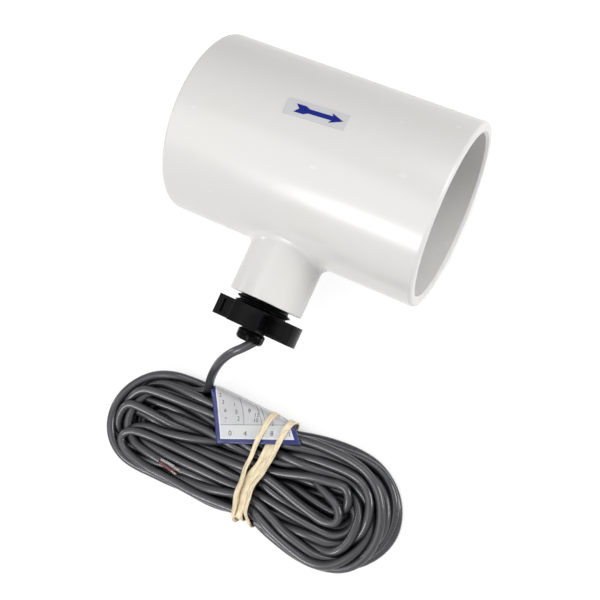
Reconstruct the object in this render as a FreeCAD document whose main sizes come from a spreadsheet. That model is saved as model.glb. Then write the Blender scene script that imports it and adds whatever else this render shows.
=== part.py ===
import FreeCAD, Part
import math
import os

import Sketcher
from FreeCAD import Placement, Rotation, Vector

# Paddle flow switch on a slip x slip x thread reducing tee, with its coiled signal cable.
# The origin is where the run axis (X, the flow direction) meets the branch axis (-Y). Z is up and the
# tee lies on its side, so the surface that it rests on is half an outside diameter below the origin.
# "Reach" is always a distance from the run axis along the branch, so a point at reach r has y = -r.

# ---------------------------------------------------------------------------- driving dimensions (mm)
SIZES = {
    # tee
    "tee_length": 98.0,
    "socket_bore": 60.4,
    "socket_wall": 3.9,
    "socket_depth": 35.0,
    "socket_lead_in": 0.9,
    "water_bore": 52.5,
    "branch_diameter": 27.9,
    "branch_reach": 53.8,
    "branch_bore": 18.2,
    "branch_fillet": 3.0,
    "rim_rounding": 1.2,
    "edge_rounding": 0.4,
    # tapered pipe thread, given by its pitch cone
    "thread_mouth_diameter": 19.7,
    "thread_length": 14.0,
    "thread_taper": 0.0625,
    # switch housing
    "neck_gap": 3.3,
    "neck_diameter": 18.4,
    "knob_diameter": 32.4,
    "knob_length": 7.5,
    "knob_core_diameter": 20.0,
    "wing_width": 11.7,
    "wing_rim": 1.2,
    "wing_recess": 1.1,
    "wing_recess_start": 6.3,
    "wing_recess_end": 12.8,
    "throat_diameter": 8.8,
    "throat_length": 0.6,
    "stem_diameter": 17.0,
    "ear_end": 2.6,
    "ear_slot": 8.2,
    # cavity for the reed switch, and its filling
    "cavity_diameter": 7.4,
    "cavity_floor": 2.2,
    "dome_diameter": 10.4,
    "dome_length": 4.0,
    "dome_rounding": 1.5,
    "fit_clearance": 0.05,
    # paddle and its hinge
    "pin_depth": 24.8,
    "pin_diameter": 2.4,
    "pin_clearance": 0.06,
    "pin_length": 14.4,
    "hub_radius": 3.1,
    "side_clearance": 0.2,
    "spring_room": 2.8,
    "arm_width": 5.0,
    "arm_clearance": 1.34,
    "vane_width": 14.0,
    "vane_length": 32.0,
    "vane_thickness": 1.8,
    "vane_clearance": 1.4,
    "rib_width": 4.0,
    "rib_height": 0.8,
    "magnet_diameter": 3.4,
    "magnet_length": 2.2,
    "magnet_wall": 0.6,
    "plug_length": 0.6,
    # return spring
    "spring_wire": 0.4,
    "spring_mean_diameter": 4.0,
    "spring_turns": 4.0,
    "spring_pitch": 0.52,
    "spring_leg": 7.0,
    "spring_hole_depth": 1.5,
    # stops for the magnet arm, and the swing between them (degrees)
    "stop_width": 1.5,
    "stop_overlap": 0.9,
    "stop_clearance": 0.12,
    "paddle_swing": 30.0,
    # reed switch
    "glass_diameter": 2.4,
    "glass_wall": 0.35,
    "glass_length": 12.0,
    "glass_seal": 1.2,
    "glass_start": 1.9,
    "blade_width": 1.2,
    "blade_thickness": 0.25,
    "blade_gap": 0.2,
    "blade_overlap": 1.0,
    "lead_diameter": 0.5,
    "lead_offset": 2.1,
    "splice_gap": 1.5,
    "splice_diameter": 1.5,
    "splice_length": 4.0,
    "conductor_diameter": 1.3,
    "conductor_shift": 0.9,
    "strand_bundle": 0.8,
    # arrow label on the tee
    "label_length": 21.9,
    "label_width": 6.2,
    "label_x": -0.6,
    "label_turn": 14.8,
    "label_tilt": 4.0,
    "film_thickness": 0.12,
    "film_gap": 0.02,
    "arrow_length": 17.2,
    "arrow_x": 0.5,
    "arrow_thickness": 0.06,
    "arrow_shaft": 1.7,
    "arrow_head_length": 4.6,
    "arrow_head_width": 3.9,
    "arrow_barb": 0.7,
    "arrow_tail_length": 5.0,
    "arrow_tail_width": 3.2,
    "arrow_tail_notch": 1.5,
    # cable
    "cable_diameter": 3.4,
    # the tied hank that the cable lies in
    "hank_height": 13.0,
    "hank_end_radius": 22.9,
    "hank_left_x": -28.8,
    "hank_left_y": -114.3,
    "hank_right_x": 51.6,
    "hank_right_y": -112.9,
    "hank_edge_rounding": 4.5,
    "waist_x": 17.5,
    "waist_depth": 1.4,
    "waist_width": 17.0,
    "waist_pinch": 1.3,
    # rubber bands round the hank
    "band_thickness": 0.9,
    "wide_band_width": 3.4,
    "narrow_band_width": 1.9,
    "wide_band_x": 19.9,
    "narrow_band_x": 14.0,
    "band_turn": 4.0,
    "soft_clearance": 0.2,
    # folded instruction tag held by the narrow band
    "tag_thickness": 0.3,
    "tag_bend_radius": 3.0,
    "tag_stand_off": 0.7,
    "tag_hang": 8.5,
    "tag_left_x": -12.0,
    "tag_corner_x": -0.9,
    "tag_corner_y": -109.6,
    "tag_right_x": 28.5,
    "tag_right_y": -95.6,
    "tag_end_x": 29.4,
    # bared end of the cable
    "bare_end_x": -19.8,
    "bare_end_y": -125.1,
    "bare_length": 6.5,
    "bare_tip": 2.6,
}

document = FreeCAD.newDocument("paddle_flow_switch")
sheet = document.addObject("Spreadsheet::Sheet", "Sizes")
for row, (alias, value) in enumerate(SIZES.items(), 1):
    sheet.set(f"A{row}", alias)
    sheet.set(f"B{row}", str(value))
    sheet.setAlias(f"B{row}", alias)
document.recompute()


class Size:
    """A length worked out from the sheet: its value now, and the formula that ties it to the cells."""

    def __init__(self, value, formula):
        self.value = value
        self.formula = formula

    def __float__(self):
        return float(self.value)

    def __neg__(self):
        return Size(-self.value, f"-({self.formula})")

    def __add__(self, other):
        other = size_of(other)
        return Size(self.value + other.value, f"({self.formula} + {other.formula})")

    def __radd__(self, other):
        return size_of(other) + self

    def __sub__(self, other):
        other = size_of(other)
        return Size(self.value - other.value, f"({self.formula} - {other.formula})")

    def __rsub__(self, other):
        return size_of(other) - self

    def __mul__(self, other):
        other = size_of(other)
        return Size(self.value * other.value, f"({self.formula} * {other.formula})")

    __rmul__ = __mul__

    def __truediv__(self, other):
        other = size_of(other)
        return Size(self.value / other.value, f"({self.formula} / {other.formula})")


def size_of(number):
    """Leave a Size as it is, and make one from a plain number."""
    return number if isinstance(number, Size) else Size(number, repr(number))


class Sheet:
    """The sheet's cells as Sizes, read as attributes: S.tee_length."""

    def __getattr__(self, alias):
        return Size(SIZES[alias], f"Sizes.{alias}")


S = Sheet()
# lengths nearer than this are the same length
ROUNDING = 0.001

# ------------------------------------------------------------------------------- sizes that follow
TEE_RADIUS = S.socket_bore / 2 + S.socket_wall
FLOOR = -TEE_RADIUS
MOUTH = S.branch_reach
THREAD_ROOT = MOUTH - S.thread_length
KNOB_START = MOUTH + S.neck_gap
KNOB_END = KNOB_START + S.knob_length
THROAT_END = KNOB_END + S.throat_length
DOME_END = THROAT_END + S.dome_length
PIN_REACH = MOUTH - S.pin_depth
EAR_END = PIN_REACH - S.ear_end
VANE_TOP = EAR_END - S.vane_clearance
MAGNET_START = PIN_REACH + S.pin_diameter / 2 + S.pin_clearance + S.magnet_wall
MAGNET_END = MAGNET_START + S.magnet_length
ARM_END = MAGNET_END + S.plug_length
SLOT_END = ARM_END + S.arm_clearance
CAVITY_END = SLOT_END + S.cavity_floor
GLASS_START = CAVITY_END + S.glass_start
GLASS_END = GLASS_START + S.glass_length
SPLICE_START = GLASS_END + S.splice_gap
SPLICE_END = SPLICE_START + S.splice_length
WATER_HALF = S.tee_length / 2 - S.socket_depth
HANK_TOP = FLOOR + S.hank_height
EAR_INSIDE = S.ear_slot / 2
HUB_LOW = -(EAR_INSIDE - S.side_clearance)
HUB_HIGH = EAR_INSIDE - S.side_clearance - S.spring_room
SPRING_LOW = HUB_HIGH + S.spring_wire / 2 + S.fit_clearance * 2
SPRING_HIGH = SPRING_LOW + S.spring_turns * S.spring_pitch
SWING = math.radians(SIZES["paddle_swing"])

PARTS = []


def subpart(feature, label):
    """Name a finished sub-part and put it on the list of those that are written out."""
    feature.Label = label
    PARTS.append(feature)
    return feature


def bind(feature, **properties):
    """Tie each property to the sheet by its formula."""
    for name, size in properties.items():
        feature.setExpression(name, size_of(size).formula)
    return feature


# ----------------------------------------------------------------------------- body building helpers
def new_body(label):
    body = document.addObject("PartDesign::Body", f"{label}_body")
    return subpart(body, label)


def origin_plane(body, role):
    return next(f for f in body.Origin.OriginFeatures if f.Role == role)


def new_sketch(body, plane, offset=None):
    """An empty sketch on one of the body's origin planes, moved off it by a Size if one is given."""
    sketch = body.newObject("Sketcher::SketchObject", f"{body.Name}_sketch")
    sketch.AttachmentSupport = [(origin_plane(body, plane), "")]
    sketch.MapMode = "FlatFace"
    if offset is not None:
        sketch.setExpression("AttachmentOffset.Base.z", offset.formula)
    return sketch


def is_same(length, other):
    """Whether two lengths are the same but for rounding."""
    return abs(float(length) - float(other)) < ROUNDING


def pin_point(sketch, geometry, point, x, y):
    """Hold a sketch point at (x, y) from the sketch's origin, each tied to the sheet."""
    for kind, size in (("DistanceX", size_of(x)), ("DistanceY", size_of(y))):
        if is_same(size, 0):
            axis = -2 if kind == "DistanceX" else -1
            sketch.addConstraint(Sketcher.Constraint("PointOnObject", geometry, point, axis))
            continue
        index = sketch.addConstraint(Sketcher.Constraint(kind, -1, 1, geometry, point, float(size)))
        sketch.setExpression(f"Constraints[{index}]", size.formula)


def outline(sketch, points):
    """A closed outline of straight lines through the given points."""
    corners = [Vector(float(x), float(y), 0) for x, y in points]
    first = sketch.GeometryCount
    for here, after in zip(corners, corners[1:] + corners[:1]):
        sketch.addGeometry(Part.LineSegment(here, after))
    for index, (x, y) in enumerate(points):
        line = first + index
        before = first + (index - 1) % len(points)
        sketch.addConstraint(Sketcher.Constraint("Coincident", before, 2, line, 1))
        pin_point(sketch, line, 1, x, y)
    return sketch


def disc(sketch, x, y, radius):
    """A circle centred at (x, y)."""
    circle = sketch.addGeometry(Part.Circle(Vector(float(x), float(y), 0), Vector(0, 0, 1), float(radius)))
    pin_point(sketch, circle, 3, x, y)
    index = sketch.addConstraint(Sketcher.Constraint("Radius", circle, float(radius)))
    sketch.setExpression(f"Constraints[{index}]", size_of(radius).formula)
    return sketch


def revolve(body, kind, axis, points):
    """Turn an outline in the XY plane right round the X axis (H_Axis) or the Y axis (V_Axis)."""
    sketch = outline(new_sketch(body, "XY_Plane"), points)
    feature = body.newObject(f"PartDesign::{kind}", f"{body.Name}_{kind}")
    feature.Profile = sketch
    feature.ReferenceAxis = (sketch, [axis])
    feature.Angle = 360
    document.recompute()
    return feature


def pad(body, kind, sketch, length, symmetric=False, reverse=False):
    """Extrude a sketch: kind is Pad or Pocket."""
    feature = body.newObject(f"PartDesign::{kind}", f"{body.Name}_{kind}")
    feature.Profile = sketch
    feature.Midplane = symmetric
    feature.Reversed = reverse
    bind(feature, Length=length)
    document.recompute()
    return feature


def round_edges(body, radius, chosen, kind="Fillet"):
    """Round or chamfer the edges of the body's tip that the test picks."""
    tip = body.Tip
    names = [f"Edge{i}" for i, edge in enumerate(tip.Shape.Edges, 1) if chosen(edge)]
    feature = body.newObject(f"PartDesign::{kind}", f"{body.Name}_{kind}")
    feature.Base = (tip, names)
    bind(feature, **{"Radius" if kind == "Fillet" else "Size": radius})
    document.recompute()
    return feature


def four_round(body, features):
    """Repeat a cut every quarter turn about the branch axis."""
    pattern = body.newObject("PartDesign::PolarPattern", f"{body.Name}_pattern")
    pattern.Originals = features
    pattern.Axis = (origin_plane(body, "Y_Axis"), [""])
    pattern.Angle = 360
    pattern.Occurrences = 4
    body.Tip = pattern
    document.recompute()
    return pattern


def is_knob_corner(edge, wing, knob):
    """Whether an edge is one of the eight long corners where a wing's side meets its rounded end."""
    end = math.sqrt(float(knob) ** 2 - float(wing) ** 2)
    middle = edge.CenterOfMass
    corner = sorted((abs(middle.x), abs(middle.z)))
    return is_same(corner[0], wing) and is_same(corner[1], end)


def is_circle(edge, radius, along=None, at=None):
    """Whether an edge is a round of this radius whose centre lies at a place on an axis."""
    curve = edge.Curve
    if not isinstance(curve, Part.Circle) or not is_same(curve.Radius, radius):
        return False
    return at is None or is_same(getattr(curve.Center, along), at)


# --------------------------------------------------------------------------------------- tee body
def make_tee():
    body = new_body("tee_body")
    half = S.tee_length / 2
    outer = TEE_RADIUS
    revolve(body, "Revolution", "H_Axis", [(-half, 0), (half, 0), (half, outer), (-half, outer)])
    branch = S.branch_diameter / 2
    revolve(body, "Revolution", "V_Axis", [(0, 0), (branch, 0), (branch, -MOUTH), (0, -MOUTH)])
    round_edges(body, S.branch_fillet, lambda e: isinstance(e.Curve, Part.BSplineCurve))
    socket = S.socket_bore / 2
    lead = S.socket_lead_in
    water = S.water_bore / 2
    side = [(half, socket + lead), (half - lead, socket), (WATER_HALF, socket), (WATER_HALF, water)]
    mirrored = [(-x, y) for x, y in reversed(side)]
    revolve(body, "Groove", "H_Axis", [(-half, 0), (half, 0)] + side + mirrored)
    deep = (S.thread_mouth_diameter - S.thread_length * S.thread_taper) / 2
    mouth = S.thread_mouth_diameter / 2
    bore = S.branch_bore / 2
    revolve(
        body,
        "Groove",
        "V_Axis",
        [(0, 0), (bore, 0), (bore, -THREAD_ROOT), (deep, -THREAD_ROOT), (mouth, -MOUTH), (0, -MOUTH)],
    )

    def rim(edge):
        return is_circle(edge, outer, "x", half) or is_circle(edge, outer, "x", -half)

    round_edges(body, S.rim_rounding, rim)
    round_edges(body, S.edge_rounding, lambda e: is_circle(e, branch, "y", -MOUTH))
    return body


# ----------------------------------------------------------------------------- label on the tee
def ring(name, inner, thickness):
    """A thin tube about the X axis, longer than the label."""
    shells = []
    length = S.label_length * 2
    for part_name, radius in (("inside", inner), ("outside", inner + thickness)):
        shell = document.addObject("Part::Cylinder", f"{name}_{part_name}")
        bind(shell, Radius=radius, Height=length)
        shell.Placement = Placement(Vector(-float(length) / 2, 0, 0), Rotation(Vector(0, 1, 0), 90))
        shell.setExpression("Placement.Base.x", (-length / 2).formula)
        shells.append(shell)
    return cut(f"{name}_tube", shells[1], shells[0])


def upright_prism(name, points, height):
    """A flat outline in the XY plane, tilted as the label is and raised to a height above the origin."""
    corners = [Vector(float(x), float(y), 0) for x, y in points]
    face = document.addObject("Part::Feature", f"{name}_face")
    face.Shape = Part.Face(Part.makePolygon(corners + corners[:1]))
    prism = document.addObject("Part::Extrusion", f"{name}_prism")
    prism.Base = face
    prism.DirMode = "Custom"
    prism.Dir = Vector(0, 0, 1)
    prism.Solid = True
    prism.Placement = Placement(Vector(), Rotation(Vector(0, 0, 1), float(S.label_tilt)))
    bind(prism, LengthFwd=height)
    return prism


def on_label(name, points, inner, thickness):
    """The piece of a thin tube round the tee that lies over an outline, turned to the label's place."""
    common = document.addObject("Part::Common", f"{name}_common")
    common.Base = ring(name, inner, thickness)
    common.Tool = upright_prism(name, points, TEE_RADIUS * 2)
    common.Placement = Placement(Vector(), Rotation(Vector(1, 0, 0), -float(S.label_turn)))
    common.setExpression("Placement.Rotation.Angle", f"-{S.label_turn.formula} * 1 deg")
    return subpart(common, name)


def make_flow_label():
    left = S.label_x - S.label_length / 2
    right = S.label_x + S.label_length / 2
    width = S.label_width / 2
    on_tee = TEE_RADIUS + S.film_gap
    film = [(left, -width), (right, -width), (right, width), (left, width)]
    on_label("flow_label_film", film, on_tee, S.film_thickness)
    tip = S.arrow_x + S.arrow_length / 2
    tail = S.arrow_x - S.arrow_length / 2
    head = tip - S.arrow_head_length
    shaft = S.arrow_shaft / 2
    barb = S.arrow_head_width / 2
    feather = S.arrow_tail_width / 2
    feather_end = tail + S.arrow_tail_length
    notch = S.arrow_tail_notch
    top = [(tip, 0), (head, barb), (head + S.arrow_barb, shaft), (feather_end, shaft)]
    top += [(feather_end - notch, feather), (tail, feather)]
    bottom = [(x, -y) for x, y in reversed(top[1:])]
    on_film = on_tee + S.film_thickness + S.film_gap / 2
    on_label("flow_label_arrow", top + [(tail + notch, 0)] + bottom, on_film, S.arrow_thickness)


# --------------------------------------------------------------------------------- switch housing
def make_housing():
    body = new_body("switch_housing")
    stem = S.stem_diameter / 2
    deep = (S.thread_mouth_diameter - S.thread_length * S.thread_taper) / 2
    mouth = S.thread_mouth_diameter / 2
    neck = S.neck_diameter / 2
    knob = S.knob_diameter / 2
    throat = S.throat_diameter / 2
    lead = S.edge_rounding
    revolve(
        body,
        "Revolution",
        "V_Axis",
        [
            (0, -EAR_END),
            (stem - lead, -EAR_END),
            (stem, -(EAR_END + lead)),
            (stem, -(THREAD_ROOT + lead)),
            (deep, -(THREAD_ROOT + lead)),
            (mouth, -MOUTH),
            (neck, -MOUTH),
            (neck, -KNOB_START),
            (knob, -KNOB_START),
            (knob, -KNOB_END),
            (throat, -KNOB_END),
            (throat, -THROAT_END),
            (0, -THROAT_END),
        ],
    )
    # four wings for turning the switch by hand: the round knob loses a corner between each pair
    wing = S.wing_width / 2
    corner = [(wing, wing), (knob, wing), (knob, knob), (wing, knob)]
    notch = outline(new_sketch(body, "XZ_Plane", KNOB_START), corner)
    notch_cut = pad(body, "Pocket", notch, S.knob_length, reverse=True)
    four_round(body, [notch_cut])
    # both sides of each wing are cored out, which leaves a rim round the recess
    near = KNOB_START + S.wing_rim
    far = KNOB_END - S.wing_rim
    inner = S.wing_recess_start
    outer = S.wing_recess_end
    recess = [(inner, -near), (outer, -near), (outer, -far), (inner, -far)]
    above = pad(body, "Pocket", outline(new_sketch(body, "XY_Plane", wing), recess), S.wing_recess)
    four_round(body, [above])
    below_sketch = outline(new_sketch(body, "XY_Plane", -wing), recess)
    below = pad(body, "Pocket", below_sketch, S.wing_recess, reverse=True)
    four_round(body, [below])
    round_edges(body, S.edge_rounding, lambda e: is_knob_corner(e, wing, knob))
    # slot between the two hinge ears, closed by the end of the stem
    slot = EAR_INSIDE
    opening = [(-stem, slot), (stem, slot), (stem, -slot), (-stem, -slot)]
    sketch = outline(new_sketch(body, "XZ_Plane", EAR_END), opening)
    pad(body, "Pocket", sketch, SLOT_END - EAR_END, reverse=True)
    # hinge pin hole through both ears
    sketch = disc(new_sketch(body, "XY_Plane"), 0, -PIN_REACH, S.pin_diameter / 2)
    pad(body, "Pocket", sketch, S.stem_diameter, symmetric=True)
    # hole in the end of the stem for the spring's fixed leg
    wire = S.spring_wire / 2 + S.fit_clearance
    sketch = disc(new_sketch(body, "XZ_Plane", SLOT_END), S.spring_mean_diameter / 2, SPRING_HIGH, wire)
    pad(body, "Pocket", sketch, S.spring_hole_depth, reverse=True)
    # stops beside the magnet arm: one that it rests on, one for the full swing
    arm = S.arm_width / 2
    stop_depth = S.arm_clearance + S.stop_overlap
    swung = arm * math.cos(SWING) + (ARM_END - PIN_REACH) * math.sin(SWING)
    for near in (arm + S.stop_clearance, -(swung + S.stop_clearance + S.stop_width)):
        far = near + S.stop_width
        stop = [(near, HUB_LOW), (far, HUB_LOW), (far, HUB_HIGH), (near, HUB_HIGH)]
        sketch = outline(new_sketch(body, "XZ_Plane", SLOT_END), stop)
        pad(body, "Pad", sketch, stop_depth, reverse=True)
    # cavity for the reed switch, open at the cable end
    cavity = S.cavity_diameter / 2
    revolve(
        body,
        "Groove",
        "V_Axis",
        [(0, -CAVITY_END), (cavity, -CAVITY_END), (cavity, -THROAT_END), (0, -THROAT_END)],
    )
    return body


# ------------------------------------------------------------------------------ hinge and paddle
def rod(name, diameter, length, start, direction):
    """A round rod from a start point along an axis direction."""
    cylinder = document.addObject("Part::Cylinder", name)
    bind(cylinder, Radius=diameter / 2, Height=length)
    base = Vector(*(float(value) for value in start))
    cylinder.Placement = Placement(base, Rotation(Vector(0, 0, 1), Vector(*direction)))
    for axis, value in zip("xyz", start):
        cylinder.setExpression(f"Placement.Base.{axis}", size_of(value).formula)
    return cylinder


def box(name, sides, corner):
    """A plain block from its lowest corner."""
    block = document.addObject("Part::Box", name)
    bind(block, Length=sides[0], Width=sides[1], Height=sides[2])
    for axis, value in zip("xyz", corner):
        block.setExpression(f"Placement.Base.{axis}", size_of(value).formula)
    return block


def cut(name, base, tool):
    """One piece with another taken out of it."""
    result = document.addObject("Part::Cut", name)
    result.Base = base
    result.Tool = tool
    return result


def fuse(name, pieces):
    """Several pieces joined into one."""
    result = document.addObject("Part::MultiFuse", name)
    result.Shapes = pieces
    return result


def solid(name, shape):
    """A finished shape that no sketch or primitive gives."""
    feature = document.addObject("Part::Feature", name)
    feature.Shape = shape
    feature.Placement = Placement()
    return feature


def make_hinge_pin():
    pin = rod("pin", S.pin_diameter, S.pin_length, (0, -PIN_REACH, -S.pin_length / 2), (0, 0, 1))
    return subpart(pin, "hinge_pin")


def make_paddle():
    body = new_body("paddle")
    middle = (HUB_LOW + HUB_HIGH) / 2
    depth = HUB_HIGH - HUB_LOW
    arm = S.arm_width / 2
    vane = S.vane_thickness / 2
    top = VANE_TOP
    # hinge barrel round the pin
    barrel = disc(new_sketch(body, "XY_Plane", middle), 0, -PIN_REACH, S.hub_radius)
    pad(body, "Pad", barrel, depth, symmetric=True)
    # magnet arm, from the barrel back towards the housing
    arm_outline = [(-arm, -PIN_REACH), (-arm, -ARM_END), (arm, -ARM_END), (arm, -PIN_REACH)]
    pad(body, "Pad", outline(new_sketch(body, "XY_Plane", middle), arm_outline), depth, symmetric=True)
    # web that carries the vane below the barrel
    foot = top - S.vane_thickness
    web = [(-vane, -PIN_REACH), (vane, -PIN_REACH), (vane, -foot), (-vane, -foot)]
    pad(body, "Pad", outline(new_sketch(body, "XY_Plane", middle), web), depth, symmetric=True)
    # vane with straight sides and a half-round tip
    half = S.vane_width / 2
    tip_start = S.vane_length - top - half
    vane_outline = [(-top, -half), (tip_start, -half), (tip_start, half), (-top, half)]
    pad(body, "Pad", outline(new_sketch(body, "YZ_Plane"), vane_outline), S.vane_thickness, symmetric=True)
    tip = disc(new_sketch(body, "YZ_Plane"), tip_start, 0, half)
    pad(body, "Pad", tip, S.vane_thickness, symmetric=True)
    # stiffening rib on the downstream face
    rib = S.rib_width / 2
    rib_outline = [(-top, -rib), (tip_start, -rib), (tip_start, rib), (-top, rib)]
    pad(body, "Pad", outline(new_sketch(body, "YZ_Plane", vane), rib_outline), S.rib_height)
    # running hole for the pin
    hole = disc(new_sketch(body, "XY_Plane"), 0, -PIN_REACH, S.pin_diameter / 2 + S.pin_clearance)
    pad(body, "Pocket", hole, S.ear_slot * 2, symmetric=True)
    # pocket for the magnet, open at the end of the arm
    pocket = disc(new_sketch(body, "XZ_Plane", ARM_END), 0, middle, S.magnet_diameter / 2 + S.fit_clearance)
    pad(body, "Pocket", pocket, S.magnet_length + S.plug_length)
    return body


def make_magnet():
    middle = (HUB_LOW + HUB_HIGH) / 2
    start = (0, -MAGNET_START, middle)
    subpart(rod("magnet", S.magnet_diameter, S.magnet_length, start, (0, -1, 0)), "paddle_magnet")
    plug = rod("plug", S.magnet_diameter, S.plug_length, (0, -MAGNET_END, middle), (0, -1, 0))
    subpart(plug, "magnet_plug")


def make_return_spring():
    """Torsion spring round the pin: one leg in the stem, the other against the paddle's rib."""
    wire = float(S.spring_wire)
    height = float(S.spring_pitch * S.spring_turns)
    hinge = Vector(0, -float(PIN_REACH), float(SPRING_LOW))
    coil = Part.makeHelix(float(S.spring_pitch), height, float(S.spring_mean_diameter) / 2)
    coil.translate(hinge)
    coil = coil.mirror(hinge, Vector(0, 1, 0))
    lower, upper = sorted((v.Point for v in coil.Vertexes), key=lambda p: p.z)
    profile = Part.Wire([Part.makeCircle(wire / 2, lower, Vector(0, 1, 0))])
    coils = Part.Wire(coil.Edges).makePipeShell([profile], True, True)
    moving_leg = Part.makeCylinder(wire / 2, float(S.spring_leg), lower, Vector(0, 1, 0))
    fixed_length = float(SLOT_END - PIN_REACH + S.spring_hole_depth - S.fit_clearance * 2)
    fixed_leg = Part.makeCylinder(wire / 2, fixed_length, upper, Vector(0, -1, 0))
    return subpart(solid("spring", coils.fuse([moving_leg, fixed_leg])), "return_spring")


# ----------------------------------------------------------------------------------- cords and wires
def bent_tube(points, diameter, report=""):
    """A round tube along straight runs that are joined by tangent arcs."""
    corners = [Vector(*(float(value) for value in point)) for point in points]
    start = corners[0]
    edges = []
    radii = []
    for before, corner, after in zip(corners, corners[1:], corners[2:]):
        back = before - corner
        ahead = after - corner
        turn = math.pi - back.getAngle(ahead)
        reach = 0.45 * min(back.Length, ahead.Length)
        radii.append(reach / math.tan(turn / 2))
        arc_start = corner + back.normalize() * reach
        arc_end = corner + ahead.normalize() * reach
        bulge = (back + ahead).normalize()
        rise = radii[-1] * (1 / math.cos(turn / 2) - 1)
        edges.append(Part.LineSegment(start, arc_start).toShape())
        edges.append(Part.Arc(arc_start, corner + bulge * rise, arc_end).toShape())
        start = arc_end
    edges.append(Part.LineSegment(start, corners[-1]).toShape())
    path = Part.Wire(edges)
    profile = Part.Wire([Part.makeCircle(float(diameter) / 2, corners[0], corners[1] - corners[0])])
    tube = path.makePipeShell([profile], True, False)
    if report:
        section = math.pi * float(diameter) ** 2 / 4
        radii_text = ", ".join(f"{radius:.1f}" for radius in radii)
        print(f"{report}: length {path.Length:.1f} mm, bend radii {radii_text} mm")
        print(f"{report}: volume {tube.Volume:.1f} mm3, section x length {section * path.Length:.1f} mm3")
    return tube


# route of the cable from the potting to the hank, chosen by hand: (x, reach, z)
CABLE_ROUTE = [
    (2.3, THROAT_END + 3.0, 0.0),
    (-0.6, THROAT_END + 6.6, -0.1),
    (-4.3, THROAT_END + 9.8, -1.4),
    (-7.8, THROAT_END + 14.0, -4.6),
    (-10.6, THROAT_END + 18.6, -9.8),
    (-12.8, THROAT_END + 22.8, -16.2),
    (-14.4, THROAT_END + 26.2, -22.6),
    (-15.2, THROAT_END + 28.7, -27.2),
]
# the conductors end where the slanting end of the cable's jacket begins
CONDUCTOR_END = CABLE_ROUTE[0][1] - S.cable_diameter * 0.35


def make_cable_run():
    points = [(x, -reach, z) for x, reach, z in CABLE_ROUTE]
    return subpart(solid("cable", bent_tube(points, S.cable_diameter, "cable run")), "cable_run")


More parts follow.
